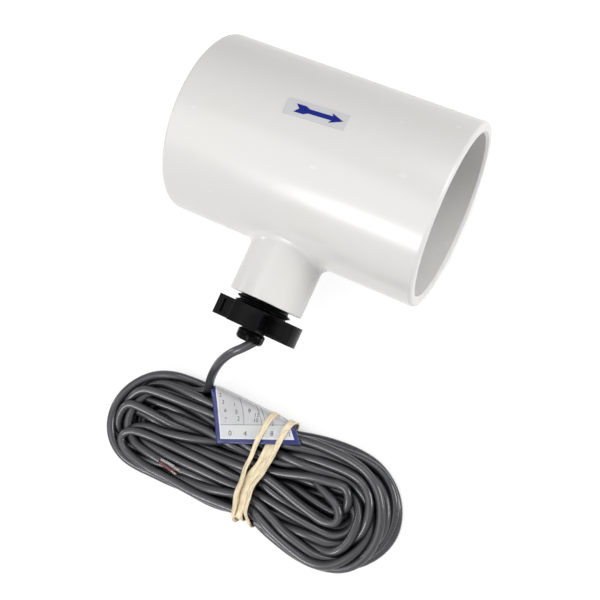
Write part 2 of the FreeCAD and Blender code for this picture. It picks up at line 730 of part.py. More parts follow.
# --------------------------------------------------------------------------------- reed switch
def make_reed_and_wiring(cable):
    """Glass reed capsule, leads, splices and conductors, set in potting compound with the cable's end."""
    seal_start = GLASS_START + S.glass_seal
    seal_end = GLASS_END - S.glass_seal
    middle = (GLASS_START + GLASS_END) / 2
    blade_x = (S.blade_gap + S.blade_thickness) / 2
    capsule = rod("capsule", S.glass_diameter, S.glass_length, (0, -GLASS_START, 0), (0, -1, 0))
    inside = S.glass_diameter - S.glass_wall * 2
    hollow = rod("hollow", inside, seal_end - seal_start, (0, -seal_start, 0), (0, -1, 0))
    # each lead is drilled through its own seal
    seal_depth = S.glass_seal * 1.5
    low_drill = rod("low_drill", S.lead_diameter, seal_depth, (-blade_x, -seal_start, 0), (0, 1, 0))
    high_drill = rod("high_drill", S.lead_diameter, seal_depth, (blade_x, -seal_end, 0), (0, -1, 0))
    subpart(cut("glass", capsule, fuse("glass_voids", [hollow, low_drill, high_drill])), "reed_glass")

    def blade(name, x, start, end):
        sides = (S.blade_thickness, end - start, S.blade_width)
        return box(name, sides, (x - S.blade_thickness / 2, -end, -S.blade_width / 2))

    lap = S.blade_overlap / 2
    root = S.fit_clearance
    subpart(blade("moving_blade", -blade_x, seal_start + root, middle + lap), "reed_blade_moving")
    subpart(blade("fixed_blade", blade_x, middle - lap, seal_end), "reed_blade_fixed")
    # the moving blade's lead turns back beside the glass, the fixed blade's runs straight on
    turn_back = CAVITY_END + S.lead_diameter * 0.75
    low_route = [
        (-blade_x, -seal_start, 0),
        (-blade_x, -turn_back, 0),
        (-S.lead_offset, -turn_back, 0),
        (-S.lead_offset, -SPLICE_START, 0),
    ]
    low_lead = solid("low_lead", bent_tube(low_route, S.lead_diameter))
    subpart(low_lead, "reed_lead_return")
    high_length = SPLICE_START - seal_end
    high_lead = rod("high_lead", S.lead_diameter, high_length, (blade_x, -seal_end, 0), (0, -1, 0))
    subpart(high_lead, "reed_lead_straight")
    splices = []
    for name, x in (("splice_red", -S.lead_offset), ("splice_white", blade_x)):
        splice = rod(name, S.splice_diameter, S.splice_length, (x, -SPLICE_START, 0), (0, -1, 0))
        splices.append(subpart(splice, name))
    conductors = []
    straight = S.conductor_diameter * 1.4
    cable_x = CABLE_ROUTE[0][0] - S.conductor_shift
    for name, x, side in (
        ("inner_conductor_red", -S.lead_offset, -1),
        ("inner_conductor_white", blade_x, 1),
    ):
        end_x = cable_x + side * (S.conductor_diameter / 2 + S.fit_clearance)
        route = [
            (x, -SPLICE_END, 0),
            (x, -(SPLICE_END + straight), 0),
            (end_x, -(CONDUCTOR_END - straight), 0),
            (end_x, -CONDUCTOR_END, 0),
        ]
        conductors.append(subpart(solid(name, bent_tube(route, S.conductor_diameter)), name))
    # filling: the cavity and the rounded bead that stands out round the cable
    fill_gap = S.fit_clearance
    fill_start = CAVITY_END + fill_gap
    fill_diameter = S.cavity_diameter
    fill = rod("fill", fill_diameter, THROAT_END - fill_start, (0, -fill_start, 0), (0, -1, 0))
    bead = rod("bead", S.dome_diameter, S.dome_length, (0, -THROAT_END, 0), (0, -1, 0))
    document.recompute()
    rounded = document.addObject("Part::Fillet", "rounded_bead")
    rounded.Base = bead
    radius = float(S.dome_rounding)
    small = radius / 2
    edges = enumerate(bead.Shape.Edges, 1)
    ends = {i: e.CenterOfMass.y for i, e in edges if isinstance(e.Curve, Part.Circle)}
    outer_end = min(ends, key=ends.get)
    inner_end = max(ends, key=ends.get)
    rounded.Edges = [(outer_end, radius, radius), (inner_end, small, small)]
    filling = fuse("filling", [fill, rounded])
    capsule_room = rod("capsule_room", S.glass_diameter, S.glass_length, (0, -GLASS_START, 0), (0, -1, 0))
    sealed = fuse("sealed_pieces", [capsule_room, low_lead, high_lead, cable] + splices + conductors)
    subpart(cut("potting", filling, sealed), "potting_compound")


# --------------------------------------------------------------------------------------- hank
SIDE_FAR = S.hank_left_y + S.hank_end_radius
WAIST_FAR = (SIDE_FAR + S.hank_right_y + S.hank_end_radius) / 2 - S.waist_pinch
WAIST_NEAR = (S.hank_left_y + S.hank_right_y) / 2 - S.hank_end_radius + S.waist_pinch
WAIST_LOW = FLOOR + S.waist_depth
WAIST_HIGH = HANK_TOP - S.waist_depth


def loop_block(name, length, low, high, rounding):
    """A block across the waist with its four long edges rounded, from (near, low) to (far, high)."""
    near, bottom = low
    far, top = high
    block = box(name, (length, far - near, top - bottom), (S.waist_x - length / 2, near, bottom))
    document.recompute()
    rounded = document.addObject("Part::Fillet", f"{name}_rounded")
    rounded.Base = block
    radius = float(rounding)
    rounded.Edges = [
        (index, radius, radius)
        for index, edge in enumerate(block.Shape.Edges, 1)
        if abs(edge.tangentAt(edge.FirstParameter).x) > 0.9
    ]
    return rounded


def make_hank():
    body = document.addObject("PartDesign::Body", "hank_body")
    left = (S.hank_left_x, S.hank_left_y)
    right = (S.hank_right_x, S.hank_right_y)
    for x, y in (left, right):
        pad(body, "Pad", disc(new_sketch(body, "XY_Plane", FLOOR), x, y, S.hank_end_radius), S.hank_height)
    radius = S.hank_end_radius
    waist = [
        (left[0], left[1] + radius),
        (left[0], left[1] - radius),
        (S.waist_x, WAIST_NEAR),
        (right[0], right[1] - radius),
        (right[0], right[1] + radius),
        (S.waist_x, WAIST_FAR),
    ]
    pad(body, "Pad", outline(new_sketch(body, "XY_Plane", FLOOR), waist), S.hank_height)
    flat = (float(FLOOR), float(HANK_TOP))
    round_edges(
        body,
        S.hank_edge_rounding,
        lambda e: is_same(e.BoundBox.ZLength, 0) and any(is_same(e.CenterOfMass.z, z) for z in flat),
    )
    slab_y = WAIST_NEAR - radius
    slab_corner = (S.waist_x - S.waist_width / 2, slab_y, FLOOR)
    slab = box("slab", (S.waist_width, radius * 4, S.hank_height), slab_corner)
    low = (WAIST_NEAR, WAIST_LOW)
    high = (WAIST_FAR, WAIST_HIGH)
    core = loop_block("core", S.waist_width * 2, low, high, S.hank_edge_rounding)
    return subpart(cut("hank", body, cut("band_groove", slab, core)), "cable_hank")


def make_band(name, width, x, low, high, rounding):
    """A rubber band: a closed loop round the waist whose inside runs from low to high."""
    thick = S.band_thickness
    inside = loop_block(f"{name}_inside", width * 2, low, high, rounding)
    outer_low = (low[0] - thick, low[1] - thick)
    outer_high = (high[0] + thick, high[1] + thick)
    outside = loop_block(f"{name}_outside", width, outer_low, outer_high, rounding + thick)
    band = cut(f"{name}_loop", outside, inside)
    centre = Vector(float(S.waist_x), float((WAIST_NEAR + WAIST_FAR) / 2), 0)
    turn = Rotation(Vector(0, 0, 1), -float(S.band_turn))
    moved = centre - turn.multVec(centre) + Vector(float(x - S.waist_x), 0, 0)
    band.Placement = Placement(moved, turn)
    return subpart(band, name)


def make_bands():
    soft = S.soft_clearance
    low = (WAIST_NEAR - soft, WAIST_LOW - soft)
    on_hank = (WAIST_FAR + soft, WAIST_HIGH + soft)
    make_band("rubber_band_wide", S.wide_band_width, S.wide_band_x, low, on_hank, S.hank_edge_rounding)
    thick = S.tag_thickness
    on_tag = (TAG_FAR + thick + soft, TAG_LOW + thick + soft)
    make_band("rubber_band_narrow", S.narrow_band_width, S.narrow_band_x, low, on_tag, S.tag_bend_radius)


# --------------------------------------------------------------------------------------- tag
TAG_LOW = HANK_TOP + S.soft_clearance
TAG_FAR = SIDE_FAR + S.tag_stand_off


def make_tag():
    """A sheet that lies on the hank, bends over its far side and hangs down behind it."""
    body = new_body("instruction_tag")
    thick = S.tag_thickness
    down = HANK_TOP - S.tag_hang
    profile = [
        (S.tag_corner_y, TAG_LOW),
        (TAG_FAR, TAG_LOW),
        (TAG_FAR, down),
        (TAG_FAR + thick, down),
        (TAG_FAR + thick, TAG_LOW + thick),
        (S.tag_corner_y, TAG_LOW + thick),
    ]
    width = S.tag_end_x - S.tag_left_x
    pad(body, "Pad", outline(new_sketch(body, "YZ_Plane", S.tag_left_x), profile), width)

    def bend(height):
        return lambda e: is_same(e.BoundBox.XLength, width) and same_place(e, height)

    def same_place(edge, outside):
        place = edge.CenterOfMass
        return is_same(place.y, TAG_FAR + outside) and is_same(place.z, TAG_LOW + outside)

    round_edges(body, S.tag_bend_radius, bend(0))
    round_edges(body, S.tag_bend_radius + thick, bend(thick))
    # its two slanting edges on top of the hank
    fold = TAG_FAR - S.tag_bend_radius
    spare = S.tag_bend_radius
    trimmed = [
        (S.tag_left_x - spare, fold),
        (S.tag_left_x, fold),
        (S.tag_corner_x, S.tag_corner_y),
        (S.tag_right_x, S.tag_right_y),
        (S.tag_end_x, fold),
        (S.tag_end_x + spare, fold),
        (S.tag_end_x + spare, S.tag_corner_y - spare),
        (S.tag_left_x - spare, S.tag_corner_y - spare),
    ]
    trim = outline(new_sketch(body, "XY_Plane", TAG_LOW - spare), trimmed)
    pad(body, "Pocket", trim, spare * 2, reverse=True)
    return body


# --------------------------------------------------------------------------------------- bare end
def make_bare_end():
    """The two conductors that stick out of the cut end of the cable, on top of the hank."""
    height = HANK_TOP + S.conductor_diameter / 2 + S.fit_clearance
    step = S.conductor_diameter / 2 + S.fit_clearance
    for name, side in (("end_conductor_white", 1), ("end_conductor_red", -1)):
        start = (S.bare_end_x, S.bare_end_y + step * side, height)
        tip = (S.bare_end_x + S.bare_length, start[1], height)
        insulation = rod(name, S.conductor_diameter, S.bare_length, start, (1, 0, 0))
        subpart(insulation, name)
        strands = rod(f"{name}_strands", S.strand_bundle, S.bare_tip, tip, (1, 0, 0))
        subpart(strands, name.replace("conductor", "strands"))


make_tee()
make_flow_label()
make_housing()
make_hinge_pin()
make_paddle()
make_magnet()
make_return_spring()
cable_run = make_cable_run()
make_reed_and_wiring(cable_run)
make_hank()
make_bands()
make_tag()
make_bare_end()
document.recompute()

# --------------------------------------------------------------------------------------- output
faults = [f"{o.Label}: {o.State}" for o in document.Objects if {"Invalid", "Error"} & set(o.State)]
for piece in PARTS:
    if piece.Shape.isNull() or not piece.Shape.isValid() or not piece.Shape.Solids:
        faults.append(f"{piece.Label}: bad shape")
if faults:
    raise SystemExit("\n".join(faults))
os.makedirs("parts", exist_ok=True)
for piece in PARTS:
    piece.Shape.exportStep(f"parts/{piece.Label}.step")
print(f"{len(PARTS)} sub-parts written")
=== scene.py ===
"""Finishes, cable hank, ties, tag and studio for a paddle flow switch in a plastic pipe tee."""
import math

import bpy
import numpy as np
from bpy.props import FloatProperty, FloatVectorProperty, IntProperty, PointerProperty
from mathutils import Matrix, Vector


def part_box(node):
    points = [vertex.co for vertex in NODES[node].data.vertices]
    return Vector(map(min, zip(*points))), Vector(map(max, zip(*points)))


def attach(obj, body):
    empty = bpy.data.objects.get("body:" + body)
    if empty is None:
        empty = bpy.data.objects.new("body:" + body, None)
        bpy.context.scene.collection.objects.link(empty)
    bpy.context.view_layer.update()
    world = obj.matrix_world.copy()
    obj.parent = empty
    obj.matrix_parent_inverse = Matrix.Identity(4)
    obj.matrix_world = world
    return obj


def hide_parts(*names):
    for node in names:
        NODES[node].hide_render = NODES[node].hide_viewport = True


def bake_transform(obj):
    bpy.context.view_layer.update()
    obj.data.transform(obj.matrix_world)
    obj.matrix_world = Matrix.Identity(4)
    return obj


bl_info = {
    "name": "Paddle flow switch",
    "version": (1, 0, 0),
    "blender": (4, 5, 0),
    "location": "View3D > Sidebar > Flow switch",
    "description": "Finishes, cable, ties, tag and studio for a paddle flow switch",
    "category": "Object",
}

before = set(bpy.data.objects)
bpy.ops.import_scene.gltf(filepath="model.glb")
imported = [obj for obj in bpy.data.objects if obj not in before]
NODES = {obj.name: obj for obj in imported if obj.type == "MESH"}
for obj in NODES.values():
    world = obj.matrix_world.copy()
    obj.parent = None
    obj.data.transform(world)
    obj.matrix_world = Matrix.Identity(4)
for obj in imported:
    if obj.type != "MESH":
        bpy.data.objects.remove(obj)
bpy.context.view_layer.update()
MM = 0.001
FLOOR = min(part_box(name)[0].z for name in NODES)


def linear(red, green, blue):
    """A colour given in 0 to 255 display steps, as the linear values that shaders take."""
    steps = (red / 255, green / 255, blue / 255)
    return tuple(c / 12.92 if c <= 0.04045 else ((c + 0.055) / 1.055) ** 2.4 for c in steps)


def solid(tint, factor=1.0, lift=0.0):
    """A shader colour: a tint made lighter or darker by a factor, and then raised."""
    return (*(c * factor + lift for c in tint[:3]), 1.0)


def unit(vector):
    return vector / np.linalg.norm(vector)


# ---------------------------------------------------------------------------------- properties
def size(name, description, default, low, high):
    """A length, given in millimetres and kept in metres."""
    return FloatProperty(
        name=name, description=description, default=default * MM, min=low * MM, max=high * MM, unit="LENGTH",
        subtype="DISTANCE", precision=4,
    )


def colour(name, description, default):
    return FloatVectorProperty(
        name=name, description=description, default=default, min=0, max=1, size=3, subtype="COLOR"
    )


def angle(name, description, degrees):
    return FloatProperty(
        name=name, description=description, default=math.radians(degrees), unit="ROTATION", subtype="ANGLE"
    )


# ------------------------------------------------------------------------------ shader writing
class Signal:
    """The output of a shader node; sums written on it add Math nodes."""

    def __init__(self, finish, socket):
        self.finish = finish
        self.socket = socket

    def maths(self, operation, *values):
        sockets = dict(enumerate(values))
        return self.finish.node("ShaderNodeMath", {"operation": operation}, sockets)

    def __add__(self, other):
        return self.maths("ADD", self, other)

    def __sub__(self, other):
        return self.maths("SUBTRACT", self, other)

    def __rsub__(self, other):
        return self.maths("SUBTRACT", other, self)

    def __mul__(self, other):
        return self.maths("MULTIPLY", self, other)

    def __lt__(self, other):
        return self.maths("LESS_THAN", self, other)

    def __gt__(self, other):
        return self.maths("GREATER_THAN", self, other)

    def __abs__(self):
        return self.maths("ABSOLUTE", self)

    def sine(self):
        return self.maths("SINE", self)

    def fraction(self):
        return self.maths("FRACT", self)

    def floor(self):
        return self.maths("FLOOR", self)

    def either(self, other):
        return self.maths("MAXIMUM", self, other)

    __radd__ = __add__
    __rmul__ = __mul__


# the values that most of a noise pattern lies between
PATTERN_MIDDLE = (0.3, 0.7)


class Finish:
    """A finish that is put together from shader nodes, for a new material or for a world."""

    def __init__(self, name, world=None):
        self.material = world or bpy.data.materials.new(name)
        self.material.use_nodes = True
        self.tree = self.material.node_tree
        self.tree.nodes.clear()

    def node(self, kind, settings=None, sockets=None, output=0):
        """Adds one node: its settings first, then the values or links of its sockets."""
        node = self.tree.nodes.new(kind)
        for name, value in (settings or {}).items():
            setattr(node, name, value)
        for name, value in (sockets or {}).items():
            if isinstance(value, Signal):
                self.tree.links.new(value.socket, node.inputs[name])
            else:
                node.inputs[name].default_value = value
        return Signal(self, node.outputs[output])

    def place(self, stretch=(1, 1, 1)):
        """Where the surface point is in the object's frame, in metres, stretched along each axis."""
        spot = self.node("ShaderNodeTexCoord", output="Object")
        return self.node("ShaderNodeVectorMath", {"operation": "MULTIPLY"}, {0: spot, 1: stretch})

    def layout(self):
        """The two layout coordinates of the surface."""
        spot = self.node("ShaderNodeTexCoord", output="UV")
        across = self.node("ShaderNodeSeparateXYZ", sockets={0: spot}, output=0)
        along = self.node("ShaderNodeSeparateXYZ", sockets={0: spot}, output=1)
        return across, along

    def noise(self, scale, detail=2.0, place=None):
        sockets = {"Vector": place or self.place(), "Scale": scale, "Detail": detail}
        return self.node("ShaderNodeTexNoise", sockets=sockets)

    def scatter(self, value):
        """A random number from 0 to 1 for each whole value."""
        return self.node("ShaderNodeTexWhiteNoise", {"noise_dimensions": "1D"}, {"W": value})

    def ramp(self, value, low, high, start=0.0, end=1.0):
        """Turns a value that runs from low to high into one that runs from start to end, and no further."""
        sockets = {"Value": value, "From Min": low, "From Max": high, "To Min": start, "To Max": end}
        return self.node("ShaderNodeMapRange", {"clamp": True}, sockets)

    def gloss(self, pattern, low, high):
        """A roughness between two values, after the middle part of a pattern."""
        return self.ramp(pattern, *PATTERN_MIDDLE, low, high)

    def openness(self, reach, samples):
        """How open the surface is to its surroundings within a reach."""
        return self.node("ShaderNodeAmbientOcclusion", {"samples": samples}, {"Distance": reach}, output="AO")

    def mix(self, share, first, second):
        """A colour between two others."""
        settings = {"data_type": "RGBA"}
        sockets = {"Factor": share, 6: first, 7: second}
        return self.node("ShaderNodeMix", settings, sockets, output=2)

    def bump(self, height, depth, strength=1.0):
        sockets = {"Height": height, "Distance": depth, "Strength": strength}
        return self.node("ShaderNodeBump", sockets=sockets)

    def surface(self, **sockets):
        named = {name.replace("_", " "): value for name, value in sockets.items()}
        shader = self.node("ShaderNodeBsdfPrincipled", sockets=named)
        self.node_output(shader)
        return self.material

    def node_output(self, shader, kind="ShaderNodeOutputMaterial"):
        out = self.tree.nodes.new(kind)
        self.tree.links.new(shader.socket, out.inputs["Surface"])


# ------------------------------------------------------------------------------------ finishes
def moulded_pvc(name, tint):
    """Glossy white pipe plastic: faint clouding, moulding flow, fine scuffs and orange peel."""
    f = Finish(name)
    cloud = f.noise(26, 3)
    flow = f.noise(60, 2, f.place((0.35, 1.0, 1.0)))
    grime = f.ramp(f.noise(900, 4), 0.66, 0.8)
    pale = solid(tint)
    deep = solid(tint, 0.955)
    warm = solid((tint[0] * 0.975, tint[1] * 0.962, tint[2] * 0.925))
    base = f.mix(cloud * 0.7, deep, pale)
    base = f.mix(f.ramp(flow, 0.45, 0.75, 0, 0.5), base, warm)
    base = f.mix(grime * 0.12, base, solid(tint, 0.72))
    scuff = f.ramp(f.noise(420, 3, f.place((0.12, 1.0, 1.0))), 0.58, 0.72)
    gloss = f.gloss(f.noise(160, 3), 0.2, 0.27) + scuff * 0.02
    peel = f.noise(520, 2) * 0.7
    return f.surface(Base_Color=base, Roughness=gloss, Normal=f.bump(peel, 0.00003, 0.5), IOR=1.53)


def black_plastic(name, tint):
    """Dark moulded plastic with a fine spark-eroded grain and slightly rubbed patches."""
    f = Finish(name)
    rub = f.ramp(f.noise(210, 4), 0.52, 0.75)
    base = f.mix(rub * 0.6, solid(tint), solid(tint, 2.2, 0.004))
    gloss = f.gloss(f.noise(700, 3), 0.24, 0.36) + rub * 0.08
    grain = f.noise(2600, 2) + f.noise(420, 2) * 0.8
    return f.surface(
        Base_Color=base, Roughness=gloss, Normal=f.bump(grain, 0.00004, 0.7), Specular_IOR_Level=0.08
    )


# how far apart the ink ticks stand along the cable, and the groups that they come in, in metres
TICK_PITCH = 0.0011
LEGEND_PITCH = 0.03


def cable_jacket(name, tint, length):
    """Grey flexible cable jacket: dull sheen, fine draw lines, a faint row of ink ticks, and painted shade in
    the creases between turns.
    """
    f = Finish(name)
    along, across = f.layout()
    patch = f.noise(34, 3)
    dust = f.ramp(f.noise(1500, 3), 0.55, 0.8)
    base = f.mix(patch, solid(tint, 0.72), solid(tint, 1.18))
    base = f.mix(dust * 0.3, base, solid(tint, 1.7))
    column = along * (length / TICK_PITCH)
    tick = f.scatter(column.floor())
    inked = (tick > 0.42) * (abs(column.fraction() - 0.5) < 0.33) * (abs(across - 0.3) < 0.05)
    legend = f.scatter((along * (length / LEGEND_PITCH)).floor())
    base = f.mix(inked * (legend > 0.4) * 0.8, base, solid(linear(22, 22, 24)))
    # painted shade: where neighbouring turns close the jacket in, its colour is darkened towards near black
    # (12, 12, 13) and its coat is thinned, standing in for the shade in the creases and gaps
    outside_painted_shade = f.ramp(f.openness(0.007, 8), 0.12, 0.62)
    base = f.mix((1 - outside_painted_shade) * 0.75, base, solid(linear(12, 12, 13)))
    gloss = f.gloss(f.noise(260, 3), 0.3, 0.42)
    lines = (across * 113).sine() * 0.25 + f.noise(900, 3)
    return f.surface(
        Base_Color=base, Roughness=gloss, Normal=f.bump(lines, 0.00004, 0.6), Specular_IOR_Level=0.12,
        Coat_Weight=outside_painted_shade * (0.55 + f.noise(90, 2) * 0.5), Coat_Roughness=0.18,
    )


def band_rubber(name, tint):
    """Tan rubber strip: lengthwise streaks and pale bloom."""
    f = Finish(name)
    across, along = f.layout()
    streak = f.node("ShaderNodeCombineXYZ", sockets={"X": across * 8, "Y": along * 0.2, "Z": 0.0})
    lines = f.noise(1.0, 3, streak)
    cloud = f.noise(420, 3)
    base = f.mix(f.ramp(lines, 0.36, 0.6), solid(tint, 0.66), solid(tint))
    base = f.mix(f.ramp(cloud, 0.5, 0.8, 0, 0.4), base, solid(linear(252, 242, 212)))
    gloss = f.gloss(cloud, 0.42, 0.6)
    height = lines + f.noise(1900, 2) * 0.5
    return f.surface(
        Base_Color=base, Roughness=gloss, Normal=f.bump(height, 0.00007, 0.8), Subsurface_Weight=0.1,
        Subsurface_Scale=0.0006,
    )


def label_film(name, tint):
    """Clear sticker film: slightly cooler than the plastic below, with small trapped bubbles."""
    f = Finish(name)
    bubble = f.ramp(f.noise(700, 2), 0.62, 0.75)
    base = f.mix(f.noise(90, 2) * 0.8, solid(tint), solid(tint, 0.93))
    gloss = f.gloss(f.noise(300, 2), 0.12, 0.24)
    return f.surface(
        Base_Color=base, Roughness=gloss, Normal=f.bump(f.noise(120, 2) + bubble * 0.5, 0.00005, 0.5),
        Coat_Weight=0.3 + bubble * 0.2,
    )


def printing_ink(name, tint, thin=0.5):
    """Printed ink with small thin spots."""
    f = Finish(name)
    spots = f.ramp(f.noise(2400, 3), 0.55, 0.78)
    base = f.mix(spots * thin, solid(tint), solid(tint, 0.6, 0.16))
    gloss = f.gloss(f.noise(800, 2), 0.25, 0.4)
    return f.surface(
        Base_Color=base, Roughness=gloss, Normal=f.bump(spots, 0.00001, 0.4), Specular_IOR_Level=0.2
    )


def drawn_metal(name, tint, rough=0.24, scale=3000):
    """Metal wire or strip with fine draw marks and slight staining."""
    f = Finish(name)
    stain = f.noise(500, 3)
    marks = f.noise(scale, 2, f.place((1.0, 0.1, 1.0)))
    base = f.mix(stain, solid(tint, 0.78), solid(tint))
    gloss = f.gloss(stain, rough, rough + 0.14)
    return f.surface(Base_Color=base, Metallic=1.0, Roughness=gloss, Normal=f.bump(marks, 0.00001, 0.5))


def wire_insulation(name, tint):
    """Soft coloured wire insulation."""
    f = Finish(name)
    cloud = f.noise(650, 3)
    base = f.mix(cloud, solid(tint, 0.8), solid(tint))
    gloss = f.gloss(cloud, 0.32, 0.46)
    return f.surface(Base_Color=base, Roughness=gloss, Normal=f.bump(f.noise(1800, 2), 0.00003, 0.5))


def clear_glass(name):
    """Greenish tube glass of the reed capsule."""
    f = Finish(name)
    base = f.mix(f.noise(300, 2), solid(linear(214, 232, 222)), solid(linear(190, 216, 204)))
    return f.surface(
        Base_Color=base, Roughness=f.gloss(f.noise(500, 2), 0.03, 0.1), IOR=1.5, Transmission_Weight=0.85
    )


def potting_resin(name, tint):
    """Black casting resin with a wet, slightly wavy skin and a few pits."""
    f = Finish(name)
    pits = f.ramp(f.noise(1300, 2), 0.68, 0.76)
    base = f.mix(f.noise(240, 3), solid(tint), solid(tint, 1.9, 0.003))
    gloss = f.gloss(f.noise(400, 2), 0.05, 0.12)
    height = f.noise(230, 2) * 2 - pits * 0.8
    return f.surface(
        Base_Color=base, Roughness=gloss, Normal=f.bump(height, 0.0006, 1.0), Specular_IOR_Level=0.04,
        Coat_Weight=f.ramp(f.noise(300, 1), 0.5, 0.66), Coat_Roughness=0.08,
    )


def sintered_magnet(name, tint):
    """Plated magnet: dull nickel with grain."""
    f = Finish(name)
    grain = f.noise(2600, 4)
    base = f.mix(grain, solid(tint, 0.6), solid(tint))
    return f.surface(
        Base_Color=base, Metallic=0.9, Roughness=f.gloss(grain, 0.3, 0.5), Normal=f.bump(grain, 0.00003, 0.6)
    )


def tag_vinyl(name, props, layout):
    """Printed tag: pale panel, blue border, thin ruled lines and a slightly creased face."""
    f = Finish(name)
    across, along = f.layout()

    def side(line):
        (x, y), (nx, ny) = line
        return across * nx + along * ny - (x * nx + y * ny)

    near, left, right = (side(layout[edge]) for edge in ("near", "left", "right"))
    border, rule = layout["border"], layout["rule"]
    blue = (near < border).either(left < border).either(right < border)
    inner = border + layout["margin"]
    white = (near < inner).either(left < inner).either(right < inner)
    ruled = abs(near - rule) < 0.12
    for start, lean, curve in layout["columns"]:
        bow = (near - rule) * lean + (near - rule) * (near - rule) * curve
        ruled = ruled.either((abs(left - start - bow) < 0.13) * (near > rule))
    cloud = f.noise(150, 3)
    panel = f.mix(cloud, solid(props.panel, 0.86), solid(props.panel))
    strip = f.mix((near < rule) * 0.75, panel, solid(linear(214, 216, 216)))
    base = f.mix(white * 0.8, strip, solid(linear(226, 226, 240)))
    base = f.mix(ruled * (1 - white) * 0.75, base, solid(linear(74, 76, 84)))
    worn = f.ramp(f.noise(1300, 3), 0.6, 0.8)
    blue_face = f.mix(f.noise(300, 3), solid(props.border_colour, 0.62), solid(props.border_colour))
    base = f.mix(blue, base, f.mix(worn * 0.35, blue_face, solid(linear(120, 126, 176))))
    gloss = f.gloss(f.noise(260, 3), 0.24, 0.4)
    crease = f.noise(90, 2) * 0.8 + f.noise(2300, 2) * 0.15
    return f.surface(Base_Color=base, Roughness=gloss, Normal=f.bump(crease, 0.00018, 0.5))


# ------------------------------------------------------------------------------------- geometry
def add_mesh(name, vertices, faces, finish, smooth=True, layout=None):
    mesh = bpy.data.meshes.new(name)
    mesh.from_pydata([tuple(v) for v in vertices], [], [tuple(int(i) for i in face) for face in faces])
    if layout is not None:
        chart = mesh.uv_layers.new(name="UVMap")
        corners = np.array([loop.vertex_index for loop in mesh.loops])
        chart.data.foreach_set("uv", np.asarray(layout, float)[corners].ravel())
    mesh.update()
    for polygon in mesh.polygons:
        polygon.use_smooth = smooth
    piece = bpy.data.objects.new(name, mesh)
    bpy.context.scene.collection.objects.link(piece)
    mesh.materials.append(finish)
    return piece


def distances(line):
    """How far along a line each of its points lies."""
    return np.r_[0, np.cumsum(np.linalg.norm(np.diff(line, axis=0), axis=1))]


def smoothed(values, rounds):
    """Values of a closed row, each drawn towards its neighbours."""
    for _ in range(rounds):
        values = (np.roll(values, 1, axis=0) + 2 * values + np.roll(values, -1, axis=0)) / 4
    return values


def smooth_line(guides, spacing):
    """Points at an even spacing along a smooth line through the guide points."""
    p = np.array(guides, float)
    p = np.vstack([2 * p[0] - p[1], p, 2 * p[-1] - p[-2]])
    t = np.linspace(0, 1, 24, endpoint=False)[:, None]
    runs = []
    for a, b, c, d in zip(p, p[1:], p[2:], p[3:]):
        cubic = (3 * b - a - 3 * c + d) * t**3
        runs.append(0.5 * (2 * b + (c - a) * t + (2 * a - 5 * b + 4 * c - d) * t**2 + cubic))
    fine = np.vstack(runs + [p[-2][None]])
    along = distances(fine)
    stops = np.linspace(0, along[-1], int(along[-1] / spacing) + 1)
    return np.stack([np.interp(stops, along, fine[:, k]) for k in range(p.shape[1])], 1)


def line_directions(line, closed=False):
    if closed:
        step = np.roll(line, -1, axis=0) - np.roll(line, 1, axis=0)
    else:
        step = np.gradient(line, axis=0)
    return step / np.linalg.norm(step, axis=1)[:, None]


def steady_normals(line):
    """Normals that turn as little as they can along an open line."""
    directions = line_directions(line)
    start = np.cross(directions[0], (0.0, 0.0, 1.0))
    if np.linalg.norm(start) < 0.1:
        start = np.cross(directions[0], (1.0, 0.0, 0.0))
    normals = [unit(start)]
    for direction in directions[1:]:
        normals.append(unit(normals[-1] - direction * (normals[-1] @ direction)))
    return np.array(normals)


def skin_points(line, normals, sections, closed=False):
    """Points round a line: at each place, a section of (out along the normal, sideways) pairs."""
    sideways = np.cross(line_directions(line, closed), normals)
    out = sections[:, :, :1] * normals[:, None]
    return (line[:, None] + out + sections[:, :, 1:] * sideways[:, None]).reshape(-1, 3)


def skin_faces(rings, sides, closed=False, first=0):
    """Faces over rings of points, with a cap at each end unless the last ring joins the first."""
    faces = []
    for ring in range(rings if closed else rings - 1):
        here, there = first + ring * sides, first + (ring + 1) % rings * sides
        for k in range(sides):
            after = (k + 1) % sides
            faces.append((here + k, here + after, there + after, there + k))
    if not closed:
        last = first + (rings - 1) * sides
        faces.append(tuple(range(first, first + sides))[::-1])
        faces.append(tuple(range(last, last + sides)))
    return faces


def sweep(name, line, normals, sections, finish, closed=False):
    """A skin along a line, laid out with the turn round it across and the distance in millimetres along."""
    count, sides = len(line), sections.shape[1]
    along = distances(line)
    layout = np.stack([np.tile(np.arange(sides) / sides, count), np.repeat(along, sides) / MM], 1)
    points = skin_points(line, normals, sections, closed)
    return add_mesh(name, points, skin_faces(count, sides, closed), finish, layout=layout)


def round_section(count, radius, sides=12):
    turn = np.arange(sides) / sides * 2 * math.pi
    ring = np.stack([np.cos(turn), np.sin(turn)], 1)
    return np.broadcast_to(ring, (count, sides, 2)) * np.reshape(radius, (-1, 1, 1))


# ---------------------------------------------------------------------------------------- cable
CABLE_RADIUS = 1.7
# the free stretch from the resin bead to the hank, in millimetres
CABLE_ROUTE = [
    (2.3, -68.2, 0.0),
    (-0.6, -71.8, -0.1),
    (-4.3, -75.0, -1.4),
    (-7.8, -79.2, -4.6),
    (-10.6, -83.8, -9.8),
    (-12.8, -88.0, -16.2),
    (-14.4, -91.4, -22.6),
    (-15.2, -93.9, -27.2),
]
# where it lies down on the floor at the hank's far side, above the floor
LEAD_IN = [(-17.0, -95.6, 3.4), (-21.0, -96.2, 2.2)]
WAIST_X = 17.5
# the neat turns: two layers, each turn inside the last and the upper layer between the lower one's turns
LAYERS = 2
NESTED_TURNS = 6
LAYER_INSET = 1.7
SLOT_WIDTH = 3.62
# the outermost of them, and how each number changes from one turn to the next and with the inset
OUTER_TURN = ((-47.4, -95.4, -132.4), (72.4, -134.6, -90.6), (-93.4, -133.4))
TURN_STEP = ((2.8, -2.5, 2.5), (-3.3, 3.1, -3.2))
INSET_WAY = ((1, -1, 1), (-1, 1, -1))
